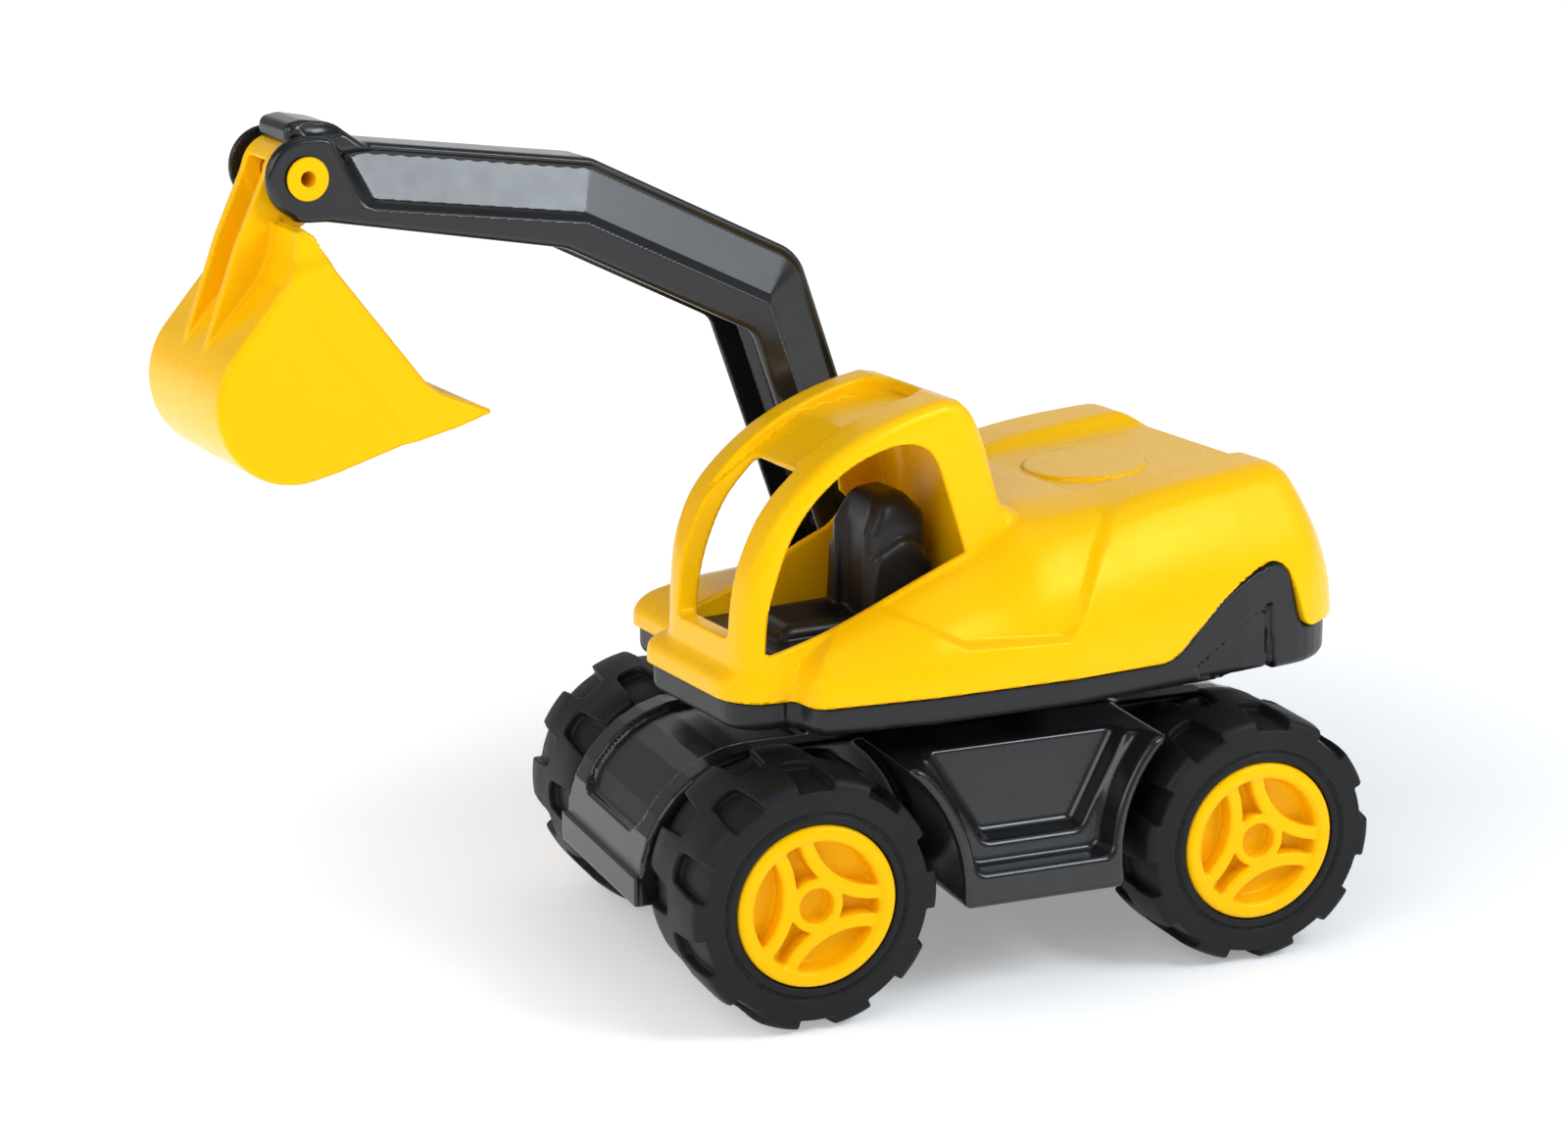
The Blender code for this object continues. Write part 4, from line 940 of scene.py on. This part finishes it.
def world():
    """Dim studio, darkest overhead, with a bright backdrop behind the toy."""
    made = bpy.data.worlds.new("studio")
    made.use_nodes = True
    tree = made.node_tree
    where = tree.nodes.new("ShaderNodeTexCoord")
    split = tree.nodes.new("ShaderNodeSeparateXYZ")
    ramp = tree.nodes.new("ShaderNodeValToRGB")
    ramp.color_ramp.elements[0].position = 0.0
    ramp.color_ramp.elements[0].color = (0.40, 0.41, 0.43, 1)
    ramp.color_ramp.elements[1].position = 0.7
    ramp.color_ramp.elements[1].color = (0.22, 0.23, 0.25, 1)
    tree.links.new(where.outputs["Generated"], split.inputs[0])
    tree.links.new(split.outputs["Z"], ramp.inputs["Fac"])
    toward = tree.nodes.new("ShaderNodeVectorMath")
    toward.operation = "DOT_PRODUCT"
    toward.inputs[1].default_value = BACKDROP
    tree.links.new(where.outputs["Generated"], toward.inputs[0])
    glow = tree.nodes.new("ShaderNodeMapRange")
    glow.interpolation_type = "SMOOTHSTEP"
    glow.inputs["From Min"].default_value = 0.7
    glow.inputs["From Max"].default_value = 1.0
    tree.links.new(toward.outputs["Value"], glow.inputs["Value"])
    mix = tree.nodes.new("ShaderNodeMix")
    mix.data_type = "RGBA"
    mix.inputs["B"].default_value = (0.76, 0.78, 0.81, 1)
    tree.links.new(glow.outputs["Result"], mix.inputs["Factor"])
    tree.links.new(ramp.outputs["Color"], mix.inputs["A"])
    tree.links.new(mix.outputs["Result"], tree.nodes["Background"].inputs["Color"])
    bpy.context.scene.world = made


CAMERA_PLACE = (-411.6, -902.4, 374.9)  # millimetres from the slewing axis, on the ground
CAMERA_AZIMUTH = -22.08  # degrees, as are the next two
CAMERA_ELEVATION = 15.34
CAMERA_ROLL = 0.31
FOCAL_SHARE = 2.369375  # focal length over the image's width
SHIFT_X, SHIFT_Y = -0.0035, -0.0008125  # of the optical centre, also over the width


def camera():
    data = bpy.data.cameras.new("camera")
    data.sensor_width = 36.0
    data.lens = FOCAL_SHARE * data.sensor_width
    data.shift_x = SHIFT_X
    data.shift_y = SHIFT_Y
    data.clip_start = 0.01
    data.clip_end = 50.0
    made = bpy.data.objects.new("camera", data)
    azimuth, elevation = math.radians(CAMERA_AZIMUTH), math.radians(CAMERA_ELEVATION)
    level = math.cos(elevation)
    forward = Vector((-level * math.sin(azimuth), level * math.cos(azimuth), -math.sin(elevation)))
    made.rotation_mode = "QUATERNION"
    roll = Matrix.Rotation(math.radians(CAMERA_ROLL), 4, forward)
    look = forward.to_track_quat("-Z", "Y").to_matrix().to_4x4()
    made.rotation_quaternion = (roll @ look).to_quaternion()
    made.location = CHASSIS @ Vector(CAMERA_PLACE)
    bpy.context.scene.collection.objects.link(made)
    bpy.context.scene.camera = made


floor()
world()
for light in LIGHTS:
    softbox(*light)
camera()

bpy.context.scene.view_settings.view_transform = "Standard"
